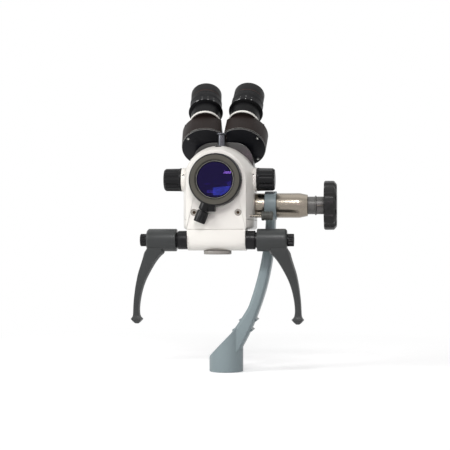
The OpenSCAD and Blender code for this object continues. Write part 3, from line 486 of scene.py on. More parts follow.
def finish(name, base, rough, metal=0.0, shine=0.5):
    """A new material with its shader's own sockets set, and the piece's own coordinates."""
    made = bpy.data.materials.new(name)
    made.use_nodes = True
    tree = made.node_tree
    shader = tree.nodes["Principled BSDF"]
    shader.inputs["Base Color"].default_value = (*base, 1)
    shader.inputs["Roughness"].default_value = rough
    shader.inputs["Metallic"].default_value = metal
    shader.inputs["Specular IOR Level"].default_value = shine
    place_node = tree.nodes.new("ShaderNodeTexCoord")
    return made, tree, shader, place_node.outputs["Object"]


def noise(tree, coordinates, scale, detail=3.0, stretch=(1, 1, 1)):
    """A noise on the piece's coordinates, drawn out where the stretch is small."""
    if stretch != (1, 1, 1):
        mapping = tree.nodes.new("ShaderNodeMapping")
        mapping.inputs["Scale"].default_value = stretch
        tree.links.new(coordinates, mapping.inputs["Vector"])
        coordinates = mapping.outputs["Vector"]
    node = tree.nodes.new("ShaderNodeTexNoise")
    node.inputs["Scale"].default_value = scale
    node.inputs["Detail"].default_value = detail
    tree.links.new(coordinates, node.inputs["Vector"])
    return node.outputs["Fac"]


def ranged(tree, value, low, high, start=0.3, end=0.7):
    """Carries a noise's middle range to a new range."""
    node = tree.nodes.new("ShaderNodeMapRange")
    node.inputs["From Min"].default_value = start
    node.inputs["From Max"].default_value = end
    node.inputs["To Min"].default_value = low
    node.inputs["To Max"].default_value = high
    tree.links.new(value, node.inputs["Value"])
    return node.outputs["Result"]


def mixed(tree, share, first, second):
    """A colour between two colours or sockets."""
    node = tree.nodes.new("ShaderNodeMix")
    node.data_type = "RGBA"
    tree.links.new(share, node.inputs["Factor"])
    for socket, value in (("A", first), ("B", second)):
        target = next(s for s in node.inputs if s.name == socket and s.type == "RGBA")
        if isinstance(value, tuple):
            target.default_value = (*value, 1)
        else:
            tree.links.new(value, target)
    return next(s for s in node.outputs if s.type == "RGBA")


def scaled(base, factor):
    """A colour made darker or lighter."""
    return tuple(min(1.0, level * factor) for level in base)


def tinted(tree, shader, share, base, darker, lighter):
    """Lets the colour wander between a darker and a lighter tone of the base."""
    tree.links.new(mixed(tree, ranged(tree, share, 0, 1), scaled(base, darker),
                         scaled(base, lighter)), shader.inputs["Base Color"])


def dent(tree, shader, height, strength, distance):
    """Turns a height into a bump."""
    node = tree.nodes.new("ShaderNodeBump")
    node.inputs["Strength"].default_value = strength
    node.inputs["Distance"].default_value = distance
    tree.links.new(height, node.inputs["Height"])
    tree.links.new(node.outputs["Normal"], shader.inputs["Normal"])


def painted(name, base, rough, vary=0.06, grain=900, bump=0.25, coat=0.0, shine=0.5):
    """Sprayed paint: faint cloudy colour, fine orange peel and a roughness that wanders."""
    made, tree, shader, where = finish(name, base, rough, 0.0, shine)
    cloud = noise(tree, where, 18, 4)
    tinted(tree, shader, cloud, base, 1 - vary, 1 + vary)
    tree.links.new(ranged(tree, cloud, rough * 0.88, rough * 1.12), shader.inputs["Roughness"])
    dent(tree, shader, noise(tree, where, grain, 2), bump, 0.00004)
    shader.inputs["Coat Weight"].default_value = coat
    shader.inputs["Coat Roughness"].default_value = 0.12
    return made


def machined(name, base, rough, metal=1.0, axis=0, vary=0.12, lines=4000, bump=0.15, shine=0.5):
    """Turned metal: fine lines round the piece, set close along its axis."""
    made, tree, shader, where = finish(name, base, rough, metal, shine)
    along = [0.02, 0.02, 0.02]
    along[axis] = 1
    streak = noise(tree, where, lines, 2, tuple(along))
    cloud = noise(tree, where, 40, 3)
    tinted(tree, shader, streak, base, 1 - vary, 1 + vary)
    tree.links.new(ranged(tree, cloud, rough * 0.8, rough * 1.25), shader.inputs["Roughness"])
    dent(tree, shader, streak, bump, 0.00002)
    return made


def moulded(name, base, rough, vary=0.1, grain=2600, bump=0.3, shine=0.5):
    """Moulded plastic or rubber: fine leather grain and slight wear."""
    made, tree, shader, where = finish(name, base, rough, 0.0, shine)
    cloud = noise(tree, where, 60, 5)
    node = tree.nodes.new("ShaderNodeTexVoronoi")
    node.inputs["Scale"].default_value = grain
    tree.links.new(where, node.inputs["Vector"])
    tinted(tree, shader, cloud, base, 1 - vary, 1 + vary)
    tree.links.new(ranged(tree, cloud, rough * 0.9, rough * 1.15), shader.inputs["Roughness"])
    dent(tree, shader, node.outputs["Distance"], bump, 0.00004)
    return made


def glazed(name, base, clear, rough=0.03):
    """Optical glass with faint streaks of its coating."""
    made, tree, shader, where = finish(name, base, rough)
    cloud = noise(tree, where, 30, 2)
    tinted(tree, shader, cloud, base, 0.94, 1.06)
    shader.inputs["Transmission Weight"].default_value = clear
    return made


FINISHES = {}


class COLPOSCOPE_OT_finishes(bpy.types.Operator):
    """Make the finishes and dress the CAD pieces that stay"""
    bl_idname = "colposcope.finishes"
    bl_label = "Finishes"

    def execute(self, context):
        tones = context.scene.colposcope_colours
        c = {key: tuple(getattr(tones, key)) for key in ColposcopeColours.__annotations__}
        FINISHES.update(
            arm=painted("Arm paint", c["arm"], 0.36, 0.05, 700, 0.25, shine=0.2),
            white=painted("White paint", c["white"], 0.34, 0.012, 800, 0.2, coat=0.2),
            plate=painted("Plate paint", c["plate"], 0.4, 0.012, 900, 0.2, coat=0.1),
            ring_white=painted("White ring", c["plate"], 0.3, 0.02, 900, 0.15),
            drum=moulded("Drum crackle", c["drum"], 0.5, 0.1, 1500, 0.25, shine=0.2),
            cover=painted("Cover paint", c["cover"], 0.3, 0.07, 900, 0.15, shine=0.2),
            # Light grey for thin bevel bands: a painted highlight where the lamps' reflection falls
            rim=painted("Bright rim", tone("8f8e88"), 0.4, 0.03, 900, 0.05),
            anodised=machined("Black anodised", c["anodised"], 0.3, 0.1, 0, 0.2, shine=0.25),
            bar=machined("Black bar", c["anodised"], 0.32, 0.1, 0, 0.2, shine=0.25),
            base=painted("Base paint", tone("23221f"), 0.3, 0.06, 900, 0.1, shine=0.5),
            sleeve=machined("Sleeve metal", tone("5c5b59"), 0.38, 0.5, 0, 0.08, 3000, 0.05),
            cell=machined("Matte black cell", scaled(c["anodised"], 0.5), 0.6, 0.0, 1, 0.1,
                          shine=0.12),
            scale_black=machined("Scale black", c["anodised"], 0.4, 0.0, 2, 0.15, shine=0.12),
            barrel_black=machined("Black tube", scaled(c["anodised"], 0.6), 0.42, 0.0, 2, 0.2,
                                  shine=0.1),
            # Painted sheen for the front face of the black objective ring
            ring_front=moulded("Ring front", c["ring"], 0.72, 0.08, 1800, 0.35, shine=0.2),
            knob=moulded("Knob plastic", c["knob"], 0.3, 0.15, 2600, 0.1, shine=0.2),
            wheel=moulded("Wheel plastic", c["wheel"], 0.34, 0.12, 2200, 0.15, shine=0.22),
            lever=painted("Handle paint", c["lever"], 0.36, 0.06, 1100, 0.15, shine=0.3),
            rubber=moulded("Eyecup rubber", c["rubber"], 0.5, 0.12, 1600, 0.2, shine=0.18),
            steel=machined("Turned steel", c["steel"], 0.24, 1.0, 0, 0.05, 3000, 0.03),
            steel_z=machined("Turned screw steel", tone("505155"), 0.3, 1.0, 2, 0.05, 3000, 0.03),
            spring=machined("Spring steel", scaled(c["steel"], 0.7), 0.35, 1.0, 0, 0.1),
            screw=machined("Blackened screw", tone("3a332d"), 0.4, 0.8, 1, 0.2),
            head=painted("Screw head", tone("a19d94"), 0.35, 0.05, 1500, 0.1),
            # Dark brown for the screws' hex sockets: painted shade in the recess
            socket=painted("Screw socket", tone("4a3828"), 0.45, 0.1, 1500, 0.1, shine=0.2),
            # The prism face glows though it is no lamp: painted light
            prism=self.painted_prism_glow(),
            bright=machined("Bright screw", c["bright"], 0.16, 1.0, 2, 0.05),
            bush=moulded("Bush plastic", scaled(c["knob"], 1.4), 0.5, 0.1, 1800, 0.3),
            glass=glazed("Optical glass", c["glass"], 0.85),
            coated=self.coated(c["lens"]),
            filter=glazed("Green filter", c["filter"], 0.7),
            lamp=moulded("Lamp lens", c["lamp"], 0.3, 0.05, 3000, 0.1),
            cap=painted("Cap plastic", c["cap"], 0.4, 0.03, 1200, 0.25),
            mark=painted("Scale white", tone("f4f4f2"), 0.5, 0.02, 2000, 0.1),
            seam=painted("Brown seam", tone("4a2b22"), 0.5, 0.1, 2000, 0.1, shine=0.2),
            knob_grey=moulded("Grey knob", tone("4a4b46"), 0.42, 0.1, 2400, 0.15, shine=0.25),
        )
        worn = {
            "arm_paint": "arm", "white_paint": "white", "white_ring": "ring_white",
            "black_anodised": "anodised", "drum_black": "drum", "ring_black": "anodised",
            "knob_black": "knob", "wheel_black": "wheel", "lever_black": "lever",
            "rubber_black": "rubber", "steel": "steel", "spring_steel": "spring",
            "screw_steel": "screw", "bright_screw": "bright", "bush_plastic": "bush",
            "grey_knob": "knob_grey", "brass": "screw", "optical_glass": "glass",
            "coated_glass": "coated", "green_glass": "filter", "lamp_plastic": "lamp",
            "cap_plastic": "cap",
        }
        for part in frame["record"]["subparts"]:
            node = frame["nodes"][part["node"]]
            node.data.materials.clear()
            node.data.materials.append(FINISHES[worn[part["material_slot"]]])
        return {"FINISHED"}

    def painted_prism_glow(self):
        """Pale blue painted glow on the face of the prism behind the objective: an emission stands in for
        light the prism would catch.
        """
        made, tree, shader, where = finish("Lit prism", tone("2a3a60"), 0.3)
        share = ranged(tree, noise(tree, where, 90, 2), 0, 1)
        tree.links.new(mixed(tree, share, (0.35, 0.75, 0.62), (0.6, 1.0, 0.8)),
                       shader.inputs["Emission Color"])
        shader.inputs["Emission Strength"].default_value = 13
        return made

    def coated(self, tint):
        """Clear lens whose coating reflects violet and blue."""
        made = glazed("Coated glass", tone("3e3c70"), 1.0, 0.0)
        shader = made.node_tree.nodes["Principled BSDF"]
        shader.inputs["Specular Tint"].default_value = (*tint, 1)
        return made


def dress(piece, worn, body, slot, *nodes):
    """Gives a finished piece its material and its body and hides the CAD nodes it stands for; its slot is
    not used.
    """
    take(piece)
    piece.data.materials.append(FINISHES[worn])
    bpy.ops.object.shade_smooth_by_angle(angle=math.radians(SMOOTH_ANGLE))
    quiet()
    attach(piece, body)
    if nodes:
        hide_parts(*nodes)
    return piece


def paint_faces(piece, worn, test):
    """Gives the faces that pass a test a second material."""
    piece.data.materials.append(FINISHES[worn])
    slot = len(piece.data.materials) - 1
    for face in piece.data.polygons:
        if test(face):
            face.material_index = slot


# The arm

class COLPOSCOPE_OT_arm(bpy.types.Operator):
    """Build the curved arm with its eye and its mitred stand socket"""
    bl_idname = "colposcope.arm"
    bl_label = "Arm"

    def execute(self, context):
        s = context.scene.colposcope_sizes
        gap, eye_width, foot_high, flare_start, steps = 0.3, 16, 90, 0.66, 48
        eye_z = middle("tilt_barrel").z
        eye_x1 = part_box("tilt_barrel")[0].x - gap * MM
        eye_x0 = eye_x1 - eye_width * MM
        top = Vector(((eye_x0 + eye_x1) / 2, 0, eye_z - s.eye / 3))
        centre = top - Vector((s.arm_bend, 0, 0))
        quiet()
        bpy.ops.mesh.primitive_plane_add(size=1, location=top, scale=(1, 1, 1))
        freeze()
        bpy.ops.object.mode_set(mode="EDIT")
        bpy.ops.transform.resize(value=(s.arm_top, s.arm_depth, 1), center_override=top)
        bpy.ops.mesh.bevel(affect="VERTICES", offset=s.arm_chamfer, segments=1)
        bpy.ops.mesh.bevel(affect="VERTICES", offset=s.edge, segments=2)
        bpy.ops.mesh.delete(type="ONLY_FACE")
        bpy.ops.mesh.select_all(action="SELECT")
        bpy.ops.mesh.spin(steps=steps, angle=s.arm_sweep, center=centre, axis=(0, -1, 0))

        def share(vertex):
            return math.atan2(centre.z - vertex.co.z, vertex.co.x - centre.x) / s.arm_sweep

        for k in range(1, steps + 1):
            even = (s.arm_foot - s.arm_top) / 2 * min(1, 2 * k / steps)
            flare = s.arm_flare * max(0, k / steps - flare_start) / (1 - flare_start)
            for side, grown in ((1, even), (-1, even + flare)):
                pick(lambda v: abs(share(v) - k / steps) < 0.2 / steps
                     and side * (math.hypot(v.co.x - centre.x, v.co.z - centre.z) - s.arm_bend) > 0)
                size = 1 + side * grown / (s.arm_bend + side * s.arm_top / 2)
                bpy.ops.transform.resize(value=(size, 1, size), center_override=centre)
        bpy.ops.mesh.select_all(action="SELECT")
        bpy.ops.mesh.fill_holes(sides=0)
        mend()
        arm = done("Swan_arm")
        eye_r, socket_r, x0, x1 = (value / MM for value in (s.eye / 2, s.socket / 2, eye_x0, eye_x1))
        eye = turned("Eye", [(x0, SPINDLE_BORE), (x0, eye_r, 0.9), (x1, eye_r, 0.9),
                             (x1, SPINDLE_BORE)], 96, 0.3)
        eye_axis = Matrix.Translation((0, 0, eye_z)) @ ALONG_X
        place(eye, eye_axis)
        foot = turned("Socket", [(0, 0), (0, socket_r, 0.8), (foot_high, socket_r), (foot_high, 0)], 96)
        take(foot, "EDIT")
        low_side = Vector((-s.socket / 2, 0, SOCKET_LOW_SIDE * MM))
        slope = Vector((-math.sin(s.mitre), 0, math.cos(s.mitre)))
        cut_off(low_side, slope)
        pick(lambda edge: all(abs((v.co - low_side).dot(slope)) < 5 * MERGE for v in edge.verts), "EDGE")
        bpy.ops.mesh.bevel(offset=0.8 * MM, segments=3)
        mend()
        quiet()
        combine(arm, "UNION", eye, foot)
        combine(arm, "DIFFERENCE", rod(SPINDLE_BORE, x0 - 1, x1 + 1, eye_axis, 96),
                rod(BUSH_R, -1, BUSH_DEPTH, None, 96))
        dress(arm, "arm", "arm", "arm_paint", "swan_arm", "arm_socket")
        return {"FINISHED"}


# The tilt clamp

class COLPOSCOPE_OT_tilt_clamp(bpy.types.Operator):
    """Build the steel spindle, the steel barrel and the black sleeve"""
    bl_idname = "colposcope.tilt_clamp"
    bl_label = "Tilt clamp"

    def execute(self, context):
        s = context.scene.colposcope_sizes
        axis = at(*TILT) @ ALONG_X
        r = s.barrel / MM / 2
        barrel = turned("Tilt_barrel", [
            (78.4, SPINDLE_BORE), (78.4, r, 0.6), (109.9, r, 0.3), (120.9, 14.7, 0.5),
            (120.9, 12.05), (82, 12.05), (82, SPINDLE_BORE)], 128)
        dress(place(barrel, axis), "steel", "arm", "steel", "tilt_barrel")
        sleeve = turned("Thrust_sleeve", [
            (121.0, SPINDLE_BORE), (121.0, 12.2), (130.6, 12.2, 0.2), (131.2, 13.5), (132.4, 13.5),
            (133.0, 12.2, 0.2), (142.9, 12.2), (142.9, SPINDLE_BORE)], 96, 0.3)
        window = box((133.2, -24.4, -13), (150, -8, 0))
        place(sleeve, ALONG_X)
        combine(sleeve, "DIFFERENCE", window)
        dress(place(sleeve, at(*TILT)), "sleeve", "arm", "black_anodised", "thrust_sleeve")
        spindle = turned("Tilt_spindle", [
            (36.6, 0), (36.6, 8), (48.7, 8, 0), (48.7, r, 0.5), (61.8, r, 0.5), (61.8, 8, 0),
            (155.3, 8), (155.3, 0)], 96)
        dress(place(spindle, axis), "steel", "head", "steel", "tilt_spindle")
        return {"FINISHED"}


class COLPOSCOPE_OT_handwheel(bpy.types.Operator):
    """Build the lobed handwheel"""
    bl_idname = "colposcope.handwheel"
    bl_label = "Handwheel"

    def execute(self, context):
        s = context.scene.colposcope_sizes
        r = s.wheel / MM / 2
        wheel = turned("Handwheel", [
            (156.4, 0), (156.4, SPINDLE_BORE, 0), (143.3, SPINDLE_BORE), (143.3, 13, 0.8), (144.3, 14, 0.8),
            (144.3, r - 5, 0.8), (143.3, r - 4, 0.8), (143.3, r - 1.4, 1.2), (144.8, r, 1.5),
            (156.8, r, 2), (160.7, r - 4.5, 3), (160.7, 0)], 24 * s.wheel_lobes, 0.8)

        def scallop(share):
            turn = share * TURN / s.wheel_lobes
            far, cutter = r + 7, 9
            inside = cutter ** 2 - (far * math.sin(turn)) ** 2
            return max(0, r - (far * math.cos(turn) - math.sqrt(inside))) if inside > 0 else 0

        fluted(wheel, s.wheel_lobes, scallop, 140, 160.6, r - 7)
        dress(place(wheel, at(*TILT) @ ALONG_X), "wheel", "clamp_wheel", "wheel_black", "handwheel")
        return {"FINISHED"}


# The housing

class COLPOSCOPE_OT_housing(bpy.types.Operator):
    """Build the flared housing, its tray, its front plate and its rear cover"""
    bl_idname = "colposcope.housing"
    bl_label = "Housing"

    def execute(self, context):
        s = context.scene.colposcope_sizes
        plate, body, drop = s.plate_half / MM, s.body_half / MM, s.body_drop / MM
        shell = self.flare(plate, body, drop)
        tray = copied(shell, "Bottom_tray")
        seam, seam_gap, wall = -53, 0.4, 3.6
        for piece, z, clear in ((shell, seam, "clear_inner"), (tray, seam - seam_gap, "clear_outer")):
            take(piece, "EDIT")
            bpy.ops.mesh.bisect(plane_co=(0, 0, z * MM), plane_no=(0, 0, 1), **{clear: True})
            quiet()
            apply(piece, "SOLIDIFY", thickness=wall * MM, offset=-1, use_even_offset=True)
        boss_r, tilt_axis, roof_axis = 16.5, moved(*TILT) @ ALONG_X, moved(*ROOF_HOLE)
        for side in (1, -1):
            turn = moved(*KNOBS) @ Matrix.Scale(side, 4, (1, 0, 0)) @ ALONG_X
            boss = turned("Boss", [(46.6, KNOB_BORE), (46.6, boss_r), (51.7, boss_r, 0.5),
                                   (51.7, KNOB_BORE)], 96)
            combine(shell, "UNION", place(boss, turn))
            combine(shell, "DIFFERENCE", rod(KNOB_BORE, 40, 60, turn))
        roof = turned("Roof", [(36, 0), (36, 6.1), (44, 6.1, 0), (44, 0)], 64)
        pad = turned("Pad", [(36.6, 8), (36.6, 17), (46.8, 17, 0), (46.8, 8)], 64)
        combine(shell, "UNION", place(roof, roof_axis), place(pad, tilt_axis))
        combine(shell, "DIFFERENCE", rod(4.3, 39.6, 60, roof_axis),
                rod(CLAMP_BORE, 30, 60, moved(*CLAMP_HOLE)), rod(8, 30, 60, tilt_axis),
                rod(1.3, 30, 60, moved(*FILTER) @ ALONG_X))
        for piece in (shell, tray):
            bevel(piece, 0.35, 2, 40)
            place(piece, HOME)
        dress(shell, "white", "head", "white_paint", "housing")
        # The roof hole's walls and floor are painted matte black: painted shade in the hole
        hole = HEAD + Vector(ROOF_HOLE) * MM
        paint_faces(shell, "cell", lambda face: face.center.z > HEAD.z + 39 * MM
                    and (face.center - hole).xy.length < 4.6 * MM)
        dress(tray, "white", "head", "white_paint", "bottom_tray")
        self.front_plate(plate, drop)
        self.rear_cover(body, drop)
        return {"FINISHED"}

    def flare(self, plate, body, drop):
        """The housing's skin, which swells from the plate to full width along a quarter sine."""
        steps, start, run = 12, 6, 30
        arch(plate, drop, start, 5, 128)
        bpy.ops.mesh.select_all(action="SELECT")
        bpy.ops.mesh.select_mode(type="EDGE")
        width = plate
        for k in range(1, steps + 1):
            bpy.ops.mesh.extrude_edges_move(TRANSFORM_OT_translate={"value": (0, run / steps * MM, 0)})
            new = plate + (body - plate) * math.sin(math.pi / 2 * k / steps)
            stretch_arch(start + run * k / steps, new / width)
            bpy.ops.mesh.select_mode(type="EDGE")
            width = new
        bpy.ops.mesh.extrude_edges_move(TRANSFORM_OT_translate={"value": (0, 45 * MM, 0)})
        mend()
        return done("Housing")

    def front_plate(self, plate, drop):
        """The plate with its lens opening and its countersunk holes."""
        face = slab("Front_plate", plate, drop, 0, 6, 0.6, 128)
        tools = [rod(26.8, -1, 7, ALONG_Y, 128)]
        for spot in FRONT_SCREWS:
            hole = moved(*spot) @ ALONG_Y
            tools += [rod(4.6, -1, 4, hole), rod(2.13, 3, 7, hole, 32)]
        combine(face, "DIFFERENCE", *tools)
        bevel(face, 0.5, 3, 40)
        dress(place(face, HOME), "plate", "head", "white_paint", "front_plate")

    def rear_cover(self, body, drop):
        """The cover with its rounded edge and the neck that carries the tube."""
        front, back = 81, 85
        cover = slab("Rear_cover", body, drop, front, back, 5, 128)
        take(cover, "EDIT")
        pick(lambda edge: all(v.co.y > (back - 0.1) * MM for v in edge.verts), "EDGE")
        bpy.ops.mesh.bevel(offset=2.8 * MM, segments=5)
        mend()
        quiet()
        neck = turned("Neck", [(60.7, NECK_BORE), (60.7, 34), (82, 34), (82, NECK_BORE)], 96)
        combine(cover, "UNION", place(neck, ALONG_Y))
        combine(cover, "DIFFERENCE", rod(NECK_BORE, 60, 90, ALONG_Y, 96),
                rod(CLAMP_BORE, 20, 60, moved(*CLAMP_HOLE)))
        dress(place(cover, HOME), "white", "head", "white_paint", "rear_cover")


class COLPOSCOPE_OT_front_screws(bpy.types.Operator):
    """Build the two countersunk hexagon socket screws of the front plate"""
    bl_idname = "colposcope.front_screws"
    bl_label = "Front screws"

    def execute(self, context):
        screw = turned("Front_screws", [
            (2.0, 0), (2.0, 1.9, 0), (0.8, 2.1, 0.2), (0.8, 4.45, 0.5), (4.0, 4.45, 0.2),
            (4.0, 2.1, 0), (6.0, 2.1), (6.0, 0)], 48, 0.2)
        combine(screw, "DIFFERENCE", rod(2.0, 0, 3, None, 6))
        place(screw, ALONG_Y)
        twin = copied(screw, "Twin")
        joined([place(one, at(*spot)) for one, spot in zip((screw, twin), FRONT_SCREWS)])
        dress(screw, "head", "head", "screw_steel", "front_screws")
        # The hex socket's walls and floor, with the hidden underside, are painted dark brown: painted shade
        # in the recess
        paint_faces(screw, "socket", lambda face: face.center.y > HEAD.y + 0.9 * MM)
        return {"FINISHED"}


# The objective

class COLPOSCOPE_OT_objective(bpy.types.Operator):
    """Build the objective ring, the lens cell, the lens's retainer and the prism's face"""
    bl_idname = "colposcope.objective"
    bl_label = "Objective"

    def execute(self, context):
        s = context.scene.colposcope_sizes
        r, free = s.ring / MM / 2, s.lens / MM / 2
        ring = turned("Objective_ring", [
            (-15.1, 26.25, 0.1), (-15.1, 27.1, 0.1), (-16, 27.3, 0.2), (-16, r - 1.6, 0.3),
            (-15, r, 0.8), (-9, r + 1.1, 2), (-1.2, r + 1.1, 0.3), (-0.9, r - 0.5, 0.1),
            (-0.3, r - 0.5, 0.1), (-0.05, r - 0.6, 0.1), (-0.05, 26.25, 0.1)], 160, 0.2)
        place(ring, ALONG_Y)
        combine(ring, "DIFFERENCE", rod(FOCUS_BORE, 20, 60, focus_axis(s)))
        place(ring, HOME)
        dress(ring, "anodised", "head", "ring_black", "objective_ring")
        # Front-facing faces get the olive-grey painted sheen
        paint_faces(ring, "ring_front", lambda face: face.normal.y < -0.9)
        cell = turned("Lens_cell", [
            (-14.5, 25.35, 0.1), (-14.5, 26.2, 0.3), (2.5, 26.2, 0.3), (2.5, 20.8), (1.0, 20.8),
            (1.0, 24.1), (-13, 24.1), (-13, 25.35)], 128, 0.1)
        dress(place(cell, HOME @ ALONG_Y), "cell", "lens", "ring_black", "lens_cell")
        retainer = turned("Lens_retainer", [
            (-13, free), (-13.6, free, 0.3), (-14.5, free + 0.9, 0.1), (-14.5, 25.25, 0.2),
            (-13, 25.25)], 128, 0.1)
        dress(place(retainer, HOME @ ALONG_Y), "cell", "lens", "bright_screw", "lens_retainer")
        # The retainer's front face is painted light grey: a painted highlight ring round the lens
        paint_faces(retainer, "rim", lambda face: face.normal.y < -0.9)
        front = 5.6     # clear of the lens cell at the end of its travel
        outline = [Vector((x, front, z)) for x, z in ((-4, -9.6), (18, -7.4), (18, -19), (-4, -19))]
        # The prism's face gets a painted glow that stands in for the light it catches
        prism = extruded("Prism_face", outline, (0, 1.5, 0))
        dress(place(prism, HOME), "prism", "head", "optical_glass")
        return {"FINISHED"}


def focus_axis(s):
    """The focus shaft's axis, in the head's own sizes: outwards through the ring's rim."""
    return moved(0, -8, 0) @ Matrix.Rotation(math.pi + s.focus_turn, 4, "Y")


class COLPOSCOPE_OT_focus_knob(bpy.types.Operator):
    """Build the ribbed focus knob on its shaft and the boss under it"""
    bl_idname = "colposcope.focus_knob"
    bl_label = "Focus knob"

    def execute(self, context):
        s = context.scene.colposcope_sizes
        axis = HOME @ focus_axis(s)
        knob = turned("Focus_knob", [
            (23.8, 0), (23.8, 2, 0.1), (26.6, 2, 0), (26.6, 3, 0.1), (45.0, 3, 0), (45.0, 7.2, 0.4),
            (45.8, 8, 0.4), (60.2, 8, 0.6), (61.0, 7.2, 0.4), (61.0, 5.8, 0.3), (60.6, 5.4, 0.3),
            (60.6, 0)], 168, 0.3)
        fluted(knob, 14, lambda share: 0.75 * max(0, 1 - (share / 0.24) ** 2), 46.1, 61.1, 6.6)
        dress(place(knob, axis), "knob", "focus", "knob_black", "focus_knob")
        boss = turned("Focus_boss", [
            (33, FOCUS_BORE), (33, 7.5), (43.4, 7.5, 0.3), (43.4, 6.6, 0.2), (44.6, 6.6, 0.3),
            (44.6, FOCUS_BORE)], 64, 0.2)
        place(boss, focus_axis(s))
        heel = bevel(box((-9, -13.9, -42.7), (0, 0, -30)), 0.8, 3)
        combine(boss, "UNION", heel)
        combine(boss, "DIFFERENCE", rod(s.ring / MM / 2 + 0.03, -20, 1, ALONG_Y, 160),
                rod(FOCUS_BORE, 20, 60, focus_axis(s)))
        dress(place(boss, HOME), "knob", "head", "knob_black", "focus_boss")
        return {"FINISHED"}


# Knobs on the housing

class COLPOSCOPE_OT_magnification_knobs(bpy.types.Operator):
    """Build the two fluted magnification knobs"""
    bl_idname = "colposcope.magnification_knobs"
    bl_label = "Magnification knobs"

    def execute(self, context):
        s = context.scene.colposcope_sizes
        r = s.knob / MM / 2
        knob = turned("Right_magnification_knob", [
            (75.4, 0), (75.4, KNOB_BORE, 0), (52, KNOB_BORE, 0.1), (52, r - 0.6, 0.5),
            (52.8, r, 0.4), (54.6, r, 0.3), (55.2, r - 0.25, 0.2), (73.6, r - 0.5, 0.4),
            (76.4, r - 2.2, 2), (76.4, 9.5, 0.4), (75.9, 9.0, 0.3), (75.9, 0)],
            18 * s.knob_flutes, 0.4)
        fluted(knob, s.knob_flutes, lambda share: 1.7 * max(0, 1 - (share / 0.26) ** 2), 55, 76.3, 9.6)
        twin = copied(knob, "Left_magnification_knob")
        turn = Matrix.Rotation(math.radians(20), 4, "X") @ ALONG_X
        for piece, side, mirror in ((knob, "right", Matrix.Identity(4)), (twin, "left", MIRROR)):
            place(piece, at(*KNOBS) @ mirror @ turn)
            dress(piece, "knob", "magnification", "knob_black", f"{side}_magnification_knob")
        return {"FINISHED"}


class COLPOSCOPE_OT_filter_knob(bpy.types.Operator):
    """Build the grooved knob of the filter slide"""
    bl_idname = "colposcope.filter_knob"
    bl_label = "Filter knob"

    def execute(self, context):
        points = [(67.7, 0), (67.7, 1.02, 0), (60, 1.02, 0.1), (60, 5.7, 0.5), (60.7, 6.3, 0.4)]
        for groove in (64.0, 67.0, 70.0):
            points += [(groove, 6.3, 0.1), (groove, 5.5, 0.1), (groove + 1, 5.5, 0.1),
                       (groove + 1, 6.3, 0.1)]
        points += [(74.6, 6.3, 0.4), (75.4, 5.4, 0.5), (75.4, 0)]
        knob = turned("Filter_knob", points, 64, 0.2)
        dress(place(knob, at(*FILTER) @ ALONG_X), "knob_grey", "filter", "grey_knob",
              "filter_knob")
        return {"FINISHED"}


# The handles

class COLPOSCOPE_OT_handle_block(bpy.types.Operator):
    """Build the handle block with its round underside, its cap and the handle bar"""
    bl_idname = "colposcope.handle_block"
    bl_label = "Handle block"

    def execute(self, context):
        r, deep, half = 14.2, 40, 39.5
        outline = [Vector((-half, 0, r)), Vector((-half, deep, r)), Vector((-half, deep, 0))]
        steps = 12
        for quarter, round_y in enumerate((deep - r, r)):
            for k in range(1 - quarter, steps + 1):
                turn = math.pi / 2 * (quarter + k / steps)
                outline.append(Vector((-half, round_y + r * math.cos(turn), -r * math.sin(turn))))
        block = extruded("Handle_block", outline, (2 * half, 0, 0))
        place(block, moved(z=HANDLES[2]))
        bevel(block, 0.6, 3, 40)
        cap_y = 20
        combine(block, "DIFFERENCE", rod(BAR_BORE, -41, 41, moved(*HANDLES) @ ALONG_X),
                rod(4.05, -110, -89.6, moved(0, cap_y, 0)))
        dress(place(block, HOME), "plate", "head", "white_paint", "handle_block")
        cap = turned("Block_cap", [
            (-89.9, 0), (-89.9, 4, 0), (-94.95, 4, 0), (-94.95, 18.8, 0.2), (-99.3, 18.8, 0.5),
            (-100.1, 17.9, 0.5), (-100.1, 0)], 96, 0.2)
        dress(place(cap, at(0, cap_y, 0)), "cap", "head", "cap_plastic", "block_cap")
        side = [(0, 7), (39.55, 7, 0), (39.55, 12.3, 0.3), (40.2, 12.65, 0.3), (51.7, 12.65, 0.4),
                (52.3, 12.2, 0.2), (52.3, 10.45, 0.2), (54.5, 10.45, 0.2), (54.5, 7, 0), (95.3, 7)]
        whole = [(-p[0], *p[1:]) for p in reversed(side[1:])] + side[1:]
        bar = turned("Handle_bar", [(-95.3, 0)] + whole + [(95.3, 0)], 96, 0.2)
        dress(place(bar, at(*HANDLES) @ ALONG_X), "bar", "head", "black_anodised",
              "handle_bar")
        return {"FINISHED"}


# Where the handles' barrels end along the handle bar
BARREL_END = 95

# A handle's stations as shares of its reach: distance below the axis, distance of its middle
# outwards from the barrel's end, half width, half depth
HANDLE_SHARES = (
    (0.04, -0.115, 0.085, 0.095), (0.115, -0.095, 0.112, 0.095), (0.155, -0.082, 0.122, 0.092),
    (0.195, -0.055, 0.106, 0.089), (0.240, -0.030, 0.094, 0.086), (0.300, 0.000, 0.083, 0.082),
    (0.400, 0.044, 0.070, 0.077), (0.480, 0.072, 0.059, 0.073), (0.560, 0.094, 0.051, 0.069),
    (0.640, 0.110, 0.045, 0.066), (0.710, 0.121, 0.042, 0.063), (0.780, 0.128, 0.040, 0.060),
    (0.845, 0.131, 0.040, 0.058), (0.900, 0.130, 0.045, 0.058), (0.928, 0.128, 0.060, 0.064),
    (0.943, 0.126, 0.074, 0.074), (0.953, 0.126, 0.070, 0.070), (0.985, 0.126, 0.040, 0.040),
    (1.0, 0.126, 0.020, 0.020))


